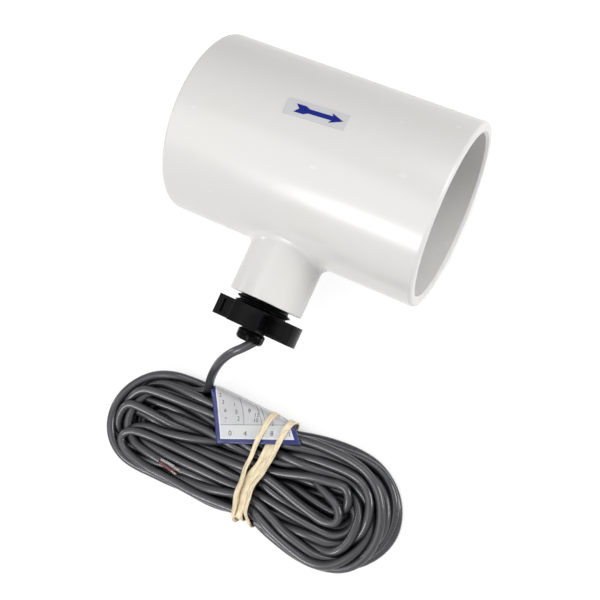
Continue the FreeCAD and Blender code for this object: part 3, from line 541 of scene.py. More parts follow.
# the looser turns on top: left end (far x, far y, near y), right end (far x, near y, far y),
# where the turn's sides cross the waist (far y, near y), and the level of each end
TOP_TURNS = [
    ((-40.0, -96.4, -130.8), (69.0, -133.4, -93.6), (-94.5, -133.0), (12, 12)),
    ((-43.5, -98.6, -131.0), (67.4, -132.0, -96.6), (-97.8, -130.5), (13, 13)),
    ((-45.6, -103.6, -130.2), (66.0, -133.8, -99.8), (-101.4, -127.0), (14, 14)),
    ((-46.6, -108.6, -129.0), (61.4, -131.2, -105.0), (-105.0, -123.6), (15, 15)),
    ((-47.4, -112.9, -127.6), (52.2, -114.4, -101.4), (-108.6, -116.0), (16, 19)),
    ((-45.4, -115.4, -125.4), (57.4, -125.2, -108.0), (-112.4, -122.0), (17, 16)),
    ((-40.8, -123.0, -131.6), (62.6, -128.6, -99.4), (-118.6, -130.0), (18, 17)),
]
# the free end, which turns back on top of the left loops
LAST_END = [
    (17.5, -104.6), (2.0, -110.0), (-14.0, -117.4), (-28.0, -121.0), (-34.5, -121.6), (-38.2, -124.4),
    (-35.4, -128.0), (-29.0, -127.6), (-20.0, -125.6),
]
LAST_LEVEL = 20
# the height of a level before the turns settle, and where the straights' middles lie from the half-way points
LEVEL_HEIGHT = 3.0
MIDDLE_SHIFT = 3
# the directions of each end's guides from its middle, in degrees
LEFT_BEND = (105, 140, 180, 220, 255)
RIGHT_BEND = (-75, -40, 0, 40, 75)
# the cable lies in the hank where it is below this height
HANK_CEILING = -15
# samples in each span of the spline
SAMPLES = 3
POINT_SPACING = 7.0
# what a length is raised by before it divides
TINY = 1e-9
# how many cable widths the turns keep apart
APART = 1.015
# settling is late after this share of its steps; touching samples are looked up once in so many steps, this
# much further apart than touching, and in rows of so many
LATE = 0.65
LOOK_UP = 6
LOOK_FURTHER = 1.8
LOOK_ROWS = 256
# early and late: how far the turns sink in a step, how strongly they are drawn to their places across the
# floor, and the cable's stiffness in each pass
SINK = (0.26, 0.06)
DRAW = (0.035, 0.01)
STIFFNESS = ((0.25,), (0.3, 0.3))
# how far from the waist the bands hold the turns, and how far the bands below lift them
TIE_REACH = 9
TIE_LIFT = 1.35
# how strongly the floor pushes turns up, the waist's height pushes them down, and the bands add to that
FLOOR_PUSH = 1.3
TOP_PUSH, TIE_PUSH = 0.25, 0.35
# how much of a crowded sample's moves is taken, how far a point follows its samples, and how strongly each
# span is drawn to its length
CROWDING = 0.6
FOLLOW, LEAST_SHARE = 1.2, 0.6
SPAN_PULL = 0.35
# the line that the hank's outline runs round, and how far from it the outline lies
OUTLINE_LEFT, OUTLINE_RIGHT = np.array((-28.8, -114.3)), np.array((51.6, -112.9))
OUTLINE_REACH = 21.0


def hank_turns():
    """The neat turns and the looser turns on top of them."""
    neat = []
    far, near = OUTER_TURN[2]
    for layer in range(LAYERS):
        inset = LAYER_INSET * layer
        for k in range(NESTED_TURNS):
            slot = SLOT_WIDTH * k + inset
            ends = [
                tuple(edge + step * k + way * inset for edge, step, way in zip(*end))
                for end in zip(OUTER_TURN, TURN_STEP, INSET_WAY)
            ]
            neat.append((*ends, (far - slot, near + slot), (k + NESTED_TURNS * layer,) * 2))
    return neat + TOP_TURNS


def turn_guides(turn, last_level, rise):
    """Guide points of one turn: from the waist's far side round the left end, then round the right end."""
    (left_x, left_far, left_near), (right_x, right_near, right_far), (far, near), (left, right) = turn
    left_z, right_z = rise(left), rise(right)

    def end(x, low, high, hand, ways, z):
        """The bend at one end: its guides, and where the straights that lead to it have their middle."""
        radius = (high - low) / 2
        centre = x - hand * radius
        bend = [
            (centre + radius * math.cos(way), (high + low) / 2 + radius * math.sin(way), z)
            for way in map(math.radians, ways)
        ]
        return bend, (WAIST_X + centre) / 2 + hand * MIDDLE_SHIFT

    left_bend, left_mid = end(left_x, left_near, left_far, -1, LEFT_BEND, left_z)
    right_bend, right_mid = end(right_x, right_near, right_far, 1, RIGHT_BEND, right_z)
    guides = [
        (WAIST_X, far, (rise(last_level) + left_z) / 2),
        (left_mid, straight(far, left_far), left_z),
        *left_bend,
        (left_mid, straight(near, left_near), left_z),
        (WAIST_X, near, (left_z + right_z) / 2),
        (right_mid, straight(near, right_near), right_z),
        *right_bend,
    ]
    return guides, (right_mid, right_far, right_z)


def straight(waist, end):
    """Where a straight's middle lies between its place at the waist and at the end."""
    return 0.35 * waist + 0.65 * end


def hank_guides(diameter):
    def rise(level):
        return diameter / 2 + LEVEL_HEIGHT * level

    guides = []
    rows = hank_turns()
    last = 0
    for index, turn in enumerate(rows):
        path, (x, far, z) = turn_guides(turn, last, rise)
        after = rows[index + 1][2][0] if index + 1 < len(rows) else LAST_END[0][1]
        guides += path if index else path[2:]
        guides.append((x, straight(after, far), z))
        last = turn[3][1]
    return guides + [(x, y, rise(LAST_LEVEL)) for x, y in LAST_END]


def add_up(where, values, count):
    """The sum of the values that belong to each of count places."""
    return np.stack([np.bincount(where, values[:, k], count) for k in range(3)], 1)


def near_pairs(place, reach):
    """Pairs of samples closer than reach, leaving out neighbours along the cable."""
    found = []
    for start in range(0, len(place), LOOK_ROWS):
        gap = place[start:start + LOOK_ROWS, None] - place[None]
        first, second = np.nonzero(np.einsum("ijk,ijk->ij", gap, gap) < reach * reach)
        first += start
        ahead = second > first + SAMPLES * 3 // 2
        found.append(np.stack([first[ahead], second[ahead]], 1))
    return np.vstack(found)


def swell(x, centre, width):
    """A smooth hump that is 1 at its centre and dies away over its width."""
    return np.exp(-(((x - centre) / width) ** 2))


def past_outline(at):
    """How far and in which direction each sample lies past the hank's outline."""
    axis = OUTLINE_RIGHT - OUTLINE_LEFT
    along = np.clip((at[:, :2] - OUTLINE_LEFT) @ axis / (axis @ axis), 0, 1)
    side = at[:, :2] - OUTLINE_LEFT - along[:, None] * axis
    out = np.linalg.norm(side, axis=1) + TINY
    x, far_side = at[:, 0], side[:, 1] > 0
    # drawn in at the waist and at the left lobe, fuller at the right lobe, and cut off at its near corner
    limit = OUTLINE_REACH - 1.3 * swell(x, WAIST_X, 24)
    limit -= 2.7 * np.clip((np.where(far_side, -22, 8) - x) / 20, 0, 1)
    limit += 2.0 * swell(x, 40, 16) * far_side
    limit -= (4.4 * swell(x, WAIST_X, 9) - 1.5 * swell(x, 37, 9)) * ~far_side
    limit -= 1.5 * np.clip((side[:, 0] - side[:, 1]) / out * 0.7, 0, 1) ** 4 * (x > OUTLINE_RIGHT[0])
    return side / out[:, None] * np.maximum(0, out - limit)[:, None]


def settle(points, fixed, diameter, steps, waist_top):
    """Lets the turns sink on to the floor and on to each other, and returns the spline's settled points.
    Each sample of the spline keeps a cable's width from the others and stays in the hank's outline."""
    count = len(points)
    spans = count - 2
    # each sample lies between three of the spline's points: their numbers, and its share of each
    t = (np.tile(np.arange(SAMPLES), spans) + 0.5) / SAMPLES
    weight = np.stack([(1 - t) ** 2 / 2, 0.5 + t * (1 - t), t * t / 2], 1)
    index = np.repeat(np.arange(spans), SAMPLES)[:, None] + np.arange(3)
    share = weight / (weight**2).sum(1)[:, None]
    samples = len(index)
    rest = np.linalg.norm(np.diff(points, axis=0), axis=1)
    aim = points.copy()
    bend = (aim[:-2] + aim[2:]) / 2 - aim[1:-1]
    bend[:, 2] = 0
    spread = APART * diameter
    place = points.copy()
    for step in range(steps):
        late = step > LATE * steps
        if step % LOOK_UP == 0:
            pairs = near_pairs((place[index] * weight[:, :, None]).sum(1), spread + LOOK_FURTHER)
        place[:, 2] -= SINK[late]
        place[:, :2] += DRAW[late] * (aim[:, :2] - place[:, :2])
        for stiffness in STIFFNESS[late]:
            place[1:-1] += stiffness * ((place[:-2] + place[2:]) / 2 - place[1:-1] - bend)
        for _ in range(3):
            at = (place[index] * weight[:, :, None]).sum(1)
            gap = at[pairs[:, 1]] - at[pairs[:, 0]]
            distance = np.linalg.norm(gap, axis=1) + TINY
            touch = distance < spread
            first, second = pairs[touch].T
            push = gap[touch] * ((spread - distance[touch]) / distance[touch] / 2)[:, None]
            move = add_up(second, push, samples) - add_up(first, push, samples)
            hits = np.bincount(first, minlength=samples) + np.bincount(second, minlength=samples)
            move /= np.maximum(1, CROWDING * hits)[:, None]
            tie = np.exp(-(((at[:, 0] - WAIST_X) / TIE_REACH) ** 4))
            move[:, 2] += FLOOR_PUSH * np.maximum(0, diameter / 2 + TIE_LIFT * tie - at[:, 2])
            move[:, 2] -= (TOP_PUSH + TIE_PUSH * tie) * np.maximum(0, at[:, 2] - waist_top + diameter / 2)
            move[:, :2] -= past_outline(at)
            moved = (np.abs(move).sum(1) > 0).astype(float)
            lift = add_up(index.ravel(), ((share * weight)[:, :, None] * move[:, None]).reshape(-1, 3), count)
            shared = np.bincount(index.ravel(), (weight * moved[:, None]).ravel(), count)
            place += FOLLOW * lift / np.maximum(LEAST_SHARE, shared)[:, None]
            place[:fixed] = aim[:fixed]
            for odd in (0, 1, 0, 1) if late else (0, 1):
                here = np.arange(odd, count - 1, 2)
                span = place[here + 1] - place[here]
                length = np.linalg.norm(span, axis=1) + TINY
                pull = span * (SPAN_PULL * (length - rest[here]) / length)[:, None]
                place[here] += pull
                place[here + 1] -= pull
    place[fixed:, 2] = np.maximum(place[fixed:, 2], diameter / 2)
    return place


def cable_points(props):
    """The spline's points in metres: the free stretch as it is drawn, then the settled turns."""
    diameter = props.diameter / MM
    floor = FLOOR / MM
    route = np.array([(x, y, z - floor) for x, y, z in CABLE_ROUTE])
    path = smooth_line([tuple(route[-1]), *LEAD_IN, *hank_guides(diameter)], POINT_SPACING)
    start = np.vstack([route[:-1], path])
    steps = props.settling
    settled = settle(start, len(route), diameter, steps, props.waist_height / MM)
    settled[:, 2] += floor
    return settled * MM


def shape_of(piece):
    """The mesh of a curve or a text as it stands; the caller removes it."""
    bpy.context.scene.collection.objects.link(piece)
    bpy.context.view_layer.update()
    return bpy.data.meshes.new_from_object(piece.evaluated_get(bpy.context.evaluated_depsgraph_get()))


def cable_line():
    """The signal cable's centre line, as points in the part's frame."""
    bare = bpy.data.objects["signal_cable"].copy()
    bare.data = bare.data.copy()
    bare.data.bevel_depth = 0
    mesh = shape_of(bare)
    line = np.array([v.co for v in mesh.vertices], float)
    bpy.data.meshes.remove(mesh)
    bpy.data.objects.remove(bare)
    return line


def hank_line():
    """The part of the cable's centre line that lies in the hank, in millimetres."""
    line = cable_line() / MM
    return line[line[:, 2] < HANK_CEILING]


class FLOWSWITCH_PG_cable(bpy.types.PropertyGroup):
    diameter: size("Diameter", "Outside diameter of the cable's jacket", 3.4, 2, 5)
    length: FloatProperty(
        name="Length", description="Length of the cable from the resin bead to its bare end", default=4.57,
        min=1, max=10, unit="LENGTH", subtype="DISTANCE",
    )
    waist_height: size("Waist height", "Height of the hank where the rubber bands tie it", 12.2, 8, 30)
    settling: IntProperty(
        name="Settling steps", description="Steps in which the turns sink on to each other", default=420,
        min=20, max=900,
    )
    jacket: colour("Jacket colour", "Colour of the cable's jacket", linear(60, 60, 64))


class FLOWSWITCH_OT_cable(bpy.types.Operator):
    """Winds the signal cable from the switch into its tied hank"""

    bl_idname = "flowswitch.cable"
    bl_label = "Signal cable"

    def execute(self, context):
        props = context.scene.flowswitch_cable
        points = cable_points(props)
        data = bpy.data.curves.new("signal_cable", "CURVE")
        data.dimensions = "3D"
        spline = data.splines.new("NURBS")
        spline.points.add(len(points) - 1)
        spline.points.foreach_set("co", np.c_[points, np.ones(len(points))].ravel())
        spline.order_u = 3
        spline.use_endpoint_u = True
        spline.use_smooth = True
        data.resolution_u = 5
        data.bevel_depth = props.diameter / 2
        data.bevel_resolution = 4
        data.use_fill_caps = True
        data.materials.append(cable_jacket("grey_jacket", props.jacket, props.length))
        cable = bpy.data.objects.new("signal_cable", data)
        context.scene.collection.objects.link(cable)
        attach(cable, "root")
        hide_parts("cable_run", "cable_hank")
        return {"FINISHED"}


# ------------------------------------------------------------------------------------ bare end
class FLOWSWITCH_PG_bare_end(bpy.types.PropertyGroup):
    insulation: size("Insulation diameter", "Outside diameter of each conductor's insulation", 1.2, 0.8, 1.5)
    stripped: size("Stripped length", "Length of bare strands at each conductor's tip", 2.6, 1, 6)
    white: colour("White insulation", "Colour of the white conductor", linear(168, 166, 168))
    red: colour("Red insulation", "Colour of the red conductor", linear(116, 66, 70))


class FLOWSWITCH_OT_bare_end(bpy.types.Operator):
    """Adds the two stripped conductors at the cable's cut end"""

    bl_idname = "flowswitch.bare_end"
    bl_label = "Bare cable end"

    def execute(self, context):
        props = context.scene.flowswitch_bare_end
        line = cable_line()
        ahead = unit(line[-1] - line[-4])
        side = unit(np.cross((0, 0, 1), ahead))
        up = np.cross(ahead, side)
        pieces = []
        finishes = {
            "white": wire_insulation("white_insulation", props.white),
            "red": wire_insulation("red_insulation", props.red),
        }
        tinned = drawn_metal("tinned_strands", linear(176, 156, 150), 0.34)
        for tint, hand, reach in (("white", 1, 6.5 * MM), ("red", -1, 6.1 * MM)):
            # each conductor's share of its reach, its place to the side and its rise
            rows = ((-0.12, 0.62, 0), (0.25, 0.66, 0.4), (0.6, 0.82 + 0.1 * hand, 0.9), (1, 0.92, 1.1))
            core = smooth_line([
                line[-1] + ahead * run * reach + side * hand * out * MM + up * (0.3 + rise) * MM
                for run, out, rise in rows
            ], 0.35 * MM)
            section = round_section(len(core), props.insulation / 2, 14)
            wire = sweep(
                f"end_wire_{tint}", core, steady_normals(core), section, finishes[tint]
            )
            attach(wire, "root")
            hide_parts(f"end_conductor_{tint}")
            bundle = self.add_strands(f"end_tips_{tint}", core, side, up, props.stripped, tinned)
            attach(bundle, "root")
            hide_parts(f"end_strands_{tint}")
            pieces += [wire, bundle]
        return {"FINISHED"}

    def add_strands(self, name, core, side, up, stripped, finish):
        """Seven twisted strands past the end of a conductor's core: one in the middle and six round it."""
        aim = unit(core[-1] - core[-2])
        thick = stripped * 0.045
        turns = np.linspace(-0.1, 1, 12)[:, None]
        vertices, faces = [], []
        for number in range(7):
            away = 0 if number == 0 else thick * 2.05
            way = number * math.pi / 3 + turns * 2.2
            across = side * np.cos(way) + up * np.sin(way)
            spread = away * (1 + 0.35 * np.clip(turns, 0, 1) ** 2)
            path = core[-1] + aim * turns * stripped * (1 - 0.04 * (number % 3)) + across * spread
            section = round_section(len(path), thick, 8)
            faces += skin_faces(len(path), 8, first=len(vertices))
            vertices += list(skin_points(path, steady_normals(path), section))
        return add_mesh(name, vertices, faces, finish)


# ----------------------------------------------------------------------------------------- tag
# the tag's corners on top of the hank, in millimetres, and how far it hangs behind
TAG_NEAR_LEFT = (-1.7, -110.2)
TAG_NEAR_RIGHT = (28.8, -96.2)
TAG_FAR_LEFT = (-12.3, -92.8)
TAG_FAR_RIGHT = (25.6, -92.8)
TAG_BEND = 2.1
TAG_HANG = 6.4
# how far its right edge draws in towards the left over that hang
TAG_TAPER = 8.5


def tag_layout():
    """The tag's edges, each as a point and the way in from it, and the places of its rules in millimetres."""

    def line(a, b):
        (ax, ay), (bx, by) = a, b
        length = math.hypot(bx - ax, by - ay)
        return a, ((ay - by) / length, (bx - ax) / length)

    return {
        "near": line(TAG_NEAR_LEFT, TAG_NEAR_RIGHT),
        "left": line(TAG_FAR_LEFT, TAG_NEAR_LEFT),
        "right": line(TAG_NEAR_RIGHT, TAG_FAR_RIGHT),
        "border": 1.8,
        "margin": 0.55,
        "rule": 7.2,
        "columns": [(11.75, 0.12, -0.021), (19.1, -0.1, -0.024), (20.6, -0.1, -0.024)],
    }


def hank_top(line, x, y, radius):
    """Height of the hank's upper side at a place, from its cable's centre line; all in millimetres."""
    near = np.hypot(line[:, 0] - x, line[:, 1] - y)
    under = near < radius
    if not under.any():
        return -math.inf
    return float((line[under, 2] + np.sqrt(radius**2 - near[under] ** 2)).max())


class TagSheet:
    """The tag's lie: flat coordinates in millimetres to places in the part's frame."""

    # the grid of heights that it is worked out on: its step, and its two ends across and along
    step, grid_x, grid_y = 1.25, (-26, 36.5), (-113, -91.5)
    # the least height that counts as lying on something
    low = -1e8
    # how far round a point of the band the sheet is held up, the rounds in which it sinks, how far it may sag
    # in one of them, and the air left below it
    held, rounds, sag, air = 1.4, 400, 0.012, 0.15

    def __init__(self, line, thickness, below):
        radius = CABLE_RADIUS + thickness
        self.xs = np.arange(*self.grid_x, self.step)
        self.ys = np.arange(*self.grid_y, self.step)
        ground = np.array([[hank_top(line, x, y, radius) for y in self.ys] for x in self.xs])
        for x, y, z in below:
            near = np.hypot(self.xs[:, None] - x, self.ys[None] - y) < self.held
            ground = np.where(near, np.maximum(ground, z + thickness), ground)
        on_hank = ground[ground > self.low]
        ground = np.where(ground > self.low, ground, on_hank.min())
        lie = np.full(ground.shape, np.percentile(ground, 99))
        for _ in range(self.rounds):
            edge = np.pad(lie, 1, mode="edge")
            even = (edge[:-2, 1:-1] + edge[2:, 1:-1] + edge[1:-1, :-2] + edge[1:-1, 2:]) / 4
            lie = np.maximum(ground, even - self.sag)
        self.lie = lie + self.air

    def height(self, x, y):
        column = (x - self.xs[0]) / self.step
        row = (min(y, self.ys[-1]) - self.ys[0]) / self.step
        i = int(np.clip(column, 0, len(self.xs) - 2))
        j = int(np.clip(row, 0, len(self.ys) - 2))
        u, v = np.clip(column - i, 0, 1), np.clip(row - j, 0, 1)
        corner = self.lie[i:i + 2, j:j + 2]
        return float(np.array((1 - u, u)) @ corner @ np.array((1 - v, v)))

    def place(self, x, along):
        """The place of a flat point: x, and y up to the bend, then the distance past it."""
        fold = TAG_FAR_LEFT[1]
        if along <= fold:
            return np.array((x, along, self.height(x, along)))
        top = self.height(x, fold)
        past = along - fold
        quarter = TAG_BEND * math.pi / 2
        if past < quarter:
            bent = past / TAG_BEND
            return np.array((x, fold + TAG_BEND * math.sin(bent), top - TAG_BEND * (1 - math.cos(bent))))
        return np.array((x, fold + TAG_BEND, top - TAG_BEND - (past - quarter)))


class FLOWSWITCH_PG_tag(bpy.types.PropertyGroup):
    thickness: size("Thickness", "Thickness of the tag's vinyl sheet", 0.25, 0.1, 0.6)
    panel: colour("Panel colour", "Colour of the tag's printed panel", linear(204, 204, 206))
    border_colour: colour("Border colour", "Colour of the tag's border", linear(26, 36, 108))


# plain numbers on the tag: (number, x, y, height) in millimetres
TAG_NUMBERS = [
    ("0", 1.6, -104.4, 2.0), ("4", 7.2, -101.9, 2.0), ("8", 17.2, -97.2, 2.0), ("1", 23.4, -94.6, 1.6),
    ("2", -8.2, -92.9, 1.5), ("3", -6.1, -94.9, 1.6), ("1", -1.6, -93.8, 1.5), ("6", -3.9, -97.3, 1.6),
    ("5", 0.4, -96.0, 1.7), ("7", -2.2, -100.5, 1.7), ("2", 2.3, -97.9, 1.7), ("9", 5.0, -93.6, 1.9),
    ("10", 8.9, -95.6, 1.6), ("12", 8.3, -93.7, 1.6), ("3", 15.8, -93.9, 1.5),
]


class FLOWSWITCH_OT_tag(bpy.types.Operator):
    """Lays the printed tag on the hank and bends it over the far side"""

    bl_idname = "flowswitch.tag"
    bl_label = "Instruction tag"
    columns, rows, rows_on_top = 44, 36, 24
    # the text size that makes digits 1 mm high, and how far the print stands off the sheet
    text_size, print_lift = 1.35, 0.03

    def execute(self, context):
        props = context.scene.flowswitch_tag
        thick = props.thickness / MM
        band = vertices_of("band_wide")
        sheet = TagSheet(hank_line(), thick, band[band[:, 2] > band[:, 2].mean()])
        fold = TAG_FAR_LEFT[1]
        far = fold + TAG_BEND * math.pi / 2 + TAG_HANG
        flat = self.flat_points(fold, far)
        wide = self.columns + 1
        faces = [
            (i, i + 1, i + wide + 1, i + wide)
            for row in range(self.rows) for i in range(row * wide, row * wide + self.columns)
        ]
        places = np.array([sheet.place(*point) for point in flat]) * MM
        finish = tag_vinyl("tag_vinyl", props, tag_layout())
        tag = add_mesh("tag_sheet", places, faces, finish, layout=flat)
        body = tag.modifiers.new("thickness", "SOLIDIFY")
        body.thickness = props.thickness
        body.offset = 0
        numbers = self.add_numbers(sheet, thick)
        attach(tag, "root")
        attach(numbers, "root")
        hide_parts("instruction_tag")
        xs = [x for x, _ in flat]
        width, length = (max(xs) - min(xs)) * MM, (far - TAG_NEAR_LEFT[1]) * MM
        for face in faces:
            corner = np.array([flat[i] for i in face])
        return {"FINISHED"}

    def flat_points(self, fold, far):
        """The flat tag's grid: even rows up to the fold, then rows that taper down to its hanging edge."""
        points = []
        for row in range(self.rows + 1):
            for column in range(self.columns + 1):
                s = column / self.columns
                start_x = TAG_NEAR_LEFT[0] + (TAG_NEAR_RIGHT[0] - TAG_NEAR_LEFT[0]) * s
                start_y = TAG_NEAR_LEFT[1] + (TAG_NEAR_RIGHT[1] - TAG_NEAR_LEFT[1]) * s
                end_x = TAG_FAR_LEFT[0] + (TAG_FAR_RIGHT[0] - TAG_FAR_LEFT[0]) * s
                if row <= self.rows_on_top:
                    t = row / self.rows_on_top
                    points.append((start_x + (end_x - start_x) * t, start_y + (fold - start_y) * t))
                else:
                    t = (row - self.rows_on_top) / (self.rows - self.rows_on_top)
                    points.append((end_x - TAG_TAPER * t * s, fold + (far - fold) * t))
        return points

    def add_numbers(self, sheet, thick):
        turn = math.atan2(TAG_NEAR_RIGHT[1] - TAG_NEAR_LEFT[1], TAG_NEAR_RIGHT[0] - TAG_NEAR_LEFT[0])
        c, s = math.cos(turn), math.sin(turn)
        vertices, faces = [], []
        for text, x, y, height in TAG_NUMBERS:
            data = bpy.data.curves.new("number", "FONT")
            data.body = text
            data.size = height * self.text_size
            data.resolution_u = 3
            data.align_x = data.align_y = "CENTER"
            letter = bpy.data.objects.new("number", data)
            mesh = shape_of(letter)
            offset = len(vertices)
            for v in mesh.vertices:
                place = sheet.place(x + v.co.x * c - v.co.y * s, y + v.co.x * s + v.co.y * c)
                vertices.append((place + (0, 0, thick / 2 + self.print_lift)) * MM)
            faces += [tuple(offset + i for i in polygon.vertices) for polygon in mesh.polygons]
            bpy.data.meshes.remove(mesh)
            bpy.data.objects.remove(letter)
            bpy.data.curves.remove(data)
        ink = printing_ink("number_ink", linear(70, 72, 80), 0.4)
        return add_mesh("tag_numbers", vertices, faces, ink, smooth=False)


# ---------------------------------------------------------------------------------- rubber bands
# each strand's line over the hank's top, from its far side to its near side: (x, y) in millimetres
LEFT_STRAND = [
    (14.2, -90.0), (13.6, -95.0), (13.2, -100.0), (13.5, -109.5), (13.8, -117.2), (14.8, -124.0),
    (16.6, -132.0),
]
RIGHT_STRAND = [
    (22.2, -90.0), (21.3, -95.0), (21.3, -101.7), (21.3, -106.4), (20.5, -111.0), (19.6, -115.0),
    (19.2, -119.5), (19.6, -123.0), (20.6, -126.8), (22.8, -132.0),
]
WIDE_STRAND = [
    (18.6, -90.0), (17.9, -100.8), (17.8, -105.0), (17.4, -109.0), (16.6, -112.6), (16.1, -116.5),
    (16.0, -120.0), (16.6, -124.0), (18.0, -132.0),
]
WIDE_EDGE = [
    (20.4, -90.0), (19.8, -100.8), (19.5, -106.0), (18.6, -111.0), (17.6, -116.5), (17.2, -120.0),
    (17.4, -124.0), (18.8, -132.0),
]
# a strand rests on what lies this near to its line, and this far from the cable's centre line
STRAND_REACH = 1.4
BAND_RADIUS = 1.75
# how far above its lowest point a band's top begins, and over what height it comes in; where its slack
# begins on the near side, and over what stretch; and the air between a band and the floor
TOP_START, TOP_RISE = 4, 5
SLACK_START, SLACK_RUN = -100.0, 14
FLOOR_AIR = 0.1
# the section of a strip of rubber, in shares of half its thickness and half its width, with a shallow groove
STRIP_SECTION = [
    (-1, -0.9), (-0.6, -1), (0.6, -1), (1, -0.9), (0.82, -0.45), (1, 0.1), (1, 0.9), (0.6, 1), (-0.6, 1),
    (-1, 0.9), (-1, 0.5), (-1, -0.5),
]


def outline_of(points):
    """Convex outline of flat points, as their corners in order."""
    ordered = sorted(map(tuple, points))

    def half(row):
        chain = []
        for p in row:
            while len(chain) > 1:
                (ax, ay), (bx, by) = chain[-2], chain[-1]
                if (bx - ax) * (p[1] - ay) - (by - ay) * (p[0] - ax) > 0:
                    break
                chain.pop()
            chain.append(p)
        return chain[:-1]

    return np.array(half(ordered) + half(ordered[::-1]))


def strand_x(strand, y):
    """Where a strand's line lies across the hank at the places y along it."""
    rows = sorted(strand, key=lambda p: p[1])
    return np.interp(y, [p[1] for p in rows], [p[0] for p in rows])


def strand_ring(points, strand, spacing=0.8):
    """The hank's section under one strand of a band: evenly spaced (y, z), from the far side over the top."""
    under = points[abs(points[:, 0] - strand_x(strand, points[:, 1])) < STRAND_REACH]
    corners = outline_of(under[:, 1:])
    closed = np.vstack([corners, corners[:1]])
    along = distances(closed)
    stops = np.linspace(0, along[-1], int(along[-1] / spacing), endpoint=False)
    ring = smoothed(np.stack([np.interp(stops, along, closed[:, k]) for k in range(2)], 1), 4)
    above = ring[:, 1] >= (ring[:, 1].min() + ring[:, 1].max()) / 2
    start = int(np.flatnonzero(above & ~np.roll(above, 1))[0])
    return np.roll(ring, -start, axis=0)


def ringed(points, radius, sides=16):
    """Each point with a ring of points round it in the section across the hank."""
    turn = np.arange(sides) / sides * 2 * math.pi
    ring = np.stack([0 * turn, np.cos(turn), np.sin(turn)], 1) * radius
    return (points[:, None] + ring[None]).reshape(-1, 3)


def band_loops(points, strands):
    """One closed line that goes round the waist once for each strand; returns places and outward normals."""
    lines, centres = [], []
    for number, strand in enumerate(strands):
        following = strands[(number + 1) % len(strands)]
        ring = strand_ring(points, strand)
        far_y, near_y = ring[:, 0].max(), ring[:, 0].min()
        share = np.clip((ring[:, 0] - near_y) / (far_y - near_y), 0, 1)
        near_x, far_x = strand_x(strand, near_y), strand_x(following, far_y)
        below = near_x + (far_x - near_x) * share * share * (3 - 2 * share)
        on_top = np.arange(len(ring)) < np.argmin(ring[:, 0])
        lines.append(np.c_[np.where(on_top, strand_x(strand, ring[:, 0]), below), ring])
        centres.append(np.broadcast_to(ring.mean(0), ring.shape))
    line = smoothed(np.vstack(lines), 4)
    normals = np.cross(line_directions(line, closed=True), (1.0, 0.0, 0.0))
    normals /= np.linalg.norm(normals, axis=1)[:, None]
    flip = np.sign((normals[:, 1:] * (line[:, 1:] - np.vstack(centres))).sum(1))
    return line, normals * flip[:, None]


class FLOWSWITCH_PG_bands(bpy.types.PropertyGroup):
    thickness: size("Thickness", "Thickness of the rubber strip", 0.75, 0.4, 2)
    narrow: size("Narrow band width", "Width of the band over the tag", 2.2, 1, 6)
    wide: size("Wide band width", "Width of the band under the tag", 3.1, 1, 8)
    rubber: colour("Rubber colour", "Colour of the rubber bands", linear(255, 238, 204))


def vertices_of(piece):
    """The vertices of a piece of the scene, in millimetres."""
    return np.array([v.co for v in bpy.data.objects[piece].data.vertices]) / MM


def add_band(name, under, strands, width, thick, twisting, node, finish):
    """One rubber band, wound twice round the waist: flat on top, twisted where it runs down the near side.
    It lies on the hank, and on the points given as under it."""
    points = np.vstack([ringed(hank_line(), BAND_RADIUS + thick / 2), *under])
    path, normals = band_loops(points, strands)
    count = len(path)
    phase = np.arange(count) / count * 2 * math.pi
    low = path[:, 2].min()
    # 1 on top of the hank and 0 below it, and 1 where the band runs down the near side
    top = np.clip((path[:, 2] - low - TOP_START) / TOP_RISE, 0, 1)
    slack = np.clip((SLACK_START - path[:, 1]) / SLACK_RUN, 0, 1) * top
    twist = twisting * slack * (0.95 + 0.35 * np.sin(phase * 5 + 0.6)) + 0.2 * top * np.sin(phase * 9)
    layer = smoothed(np.where(np.arange(count) < count // 2, 0.0, 0.35), 12)
    lift = np.abs(np.sin(twist)) * width * 0.3 + layer * top
    path = path + normals * lift[:, None]
    path[:, 0] += 0.22 * slack * np.sin(phase * 21)
    path[:, 2] = np.maximum(path[:, 2], FLOOR / MM + thick / 2 + FLOOR_AIR)
    sideways = np.cross(line_directions(path, closed=True), normals)
    turned = normals * np.cos(twist)[:, None] + sideways * np.sin(twist)[:, None]
    half = width / 2 * (1 + 0.14 * np.sin(phase * 6 + 1) - 0.25 * slack * twisting)
    section = np.array([[(out * thick / 2, side * h) for out, side in STRIP_SECTION] for h in half])
    piece = sweep(name, path * MM, turned, section * MM, finish, closed=True)
    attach(piece, "root")
    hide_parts(node)


class FLOWSWITCH_OT_wide_band(bpy.types.Operator):
    """Winds the wide rubber band twice round the hank's waist, under the tag"""

    bl_idname = "flowswitch.wide_band"
    bl_label = "Wide rubber band"

    def execute(self, context):
        props = context.scene.flowswitch_bands
        add_band(
            "band_wide", [], (WIDE_STRAND, WIDE_EDGE), props.wide / MM, props.thickness / MM, 0.12,
            "rubber_band_wide", band_rubber("wide_band_rubber", props.rubber),
        )
        return {"FINISHED"}


class FLOWSWITCH_OT_narrow_band(bpy.types.Operator):
    """Winds the narrow rubber band twice round the hank's waist, over the tag"""

    bl_idname = "flowswitch.narrow_band"
    bl_label = "Narrow rubber band"

    def execute(self, context):
        props = context.scene.flowswitch_bands
        thick = props.thickness / MM
        under = [ringed(vertices_of(piece), thick / 2 + 0.15) for piece in ("tag_sheet", "band_wide")]
        add_band(
            "band_narrow", under, (LEFT_STRAND, RIGHT_STRAND), props.narrow / MM, thick, 0.65,
            "rubber_band_narrow", band_rubber("narrow_band_rubber", props.rubber),
        )
        return {"FINISHED"}


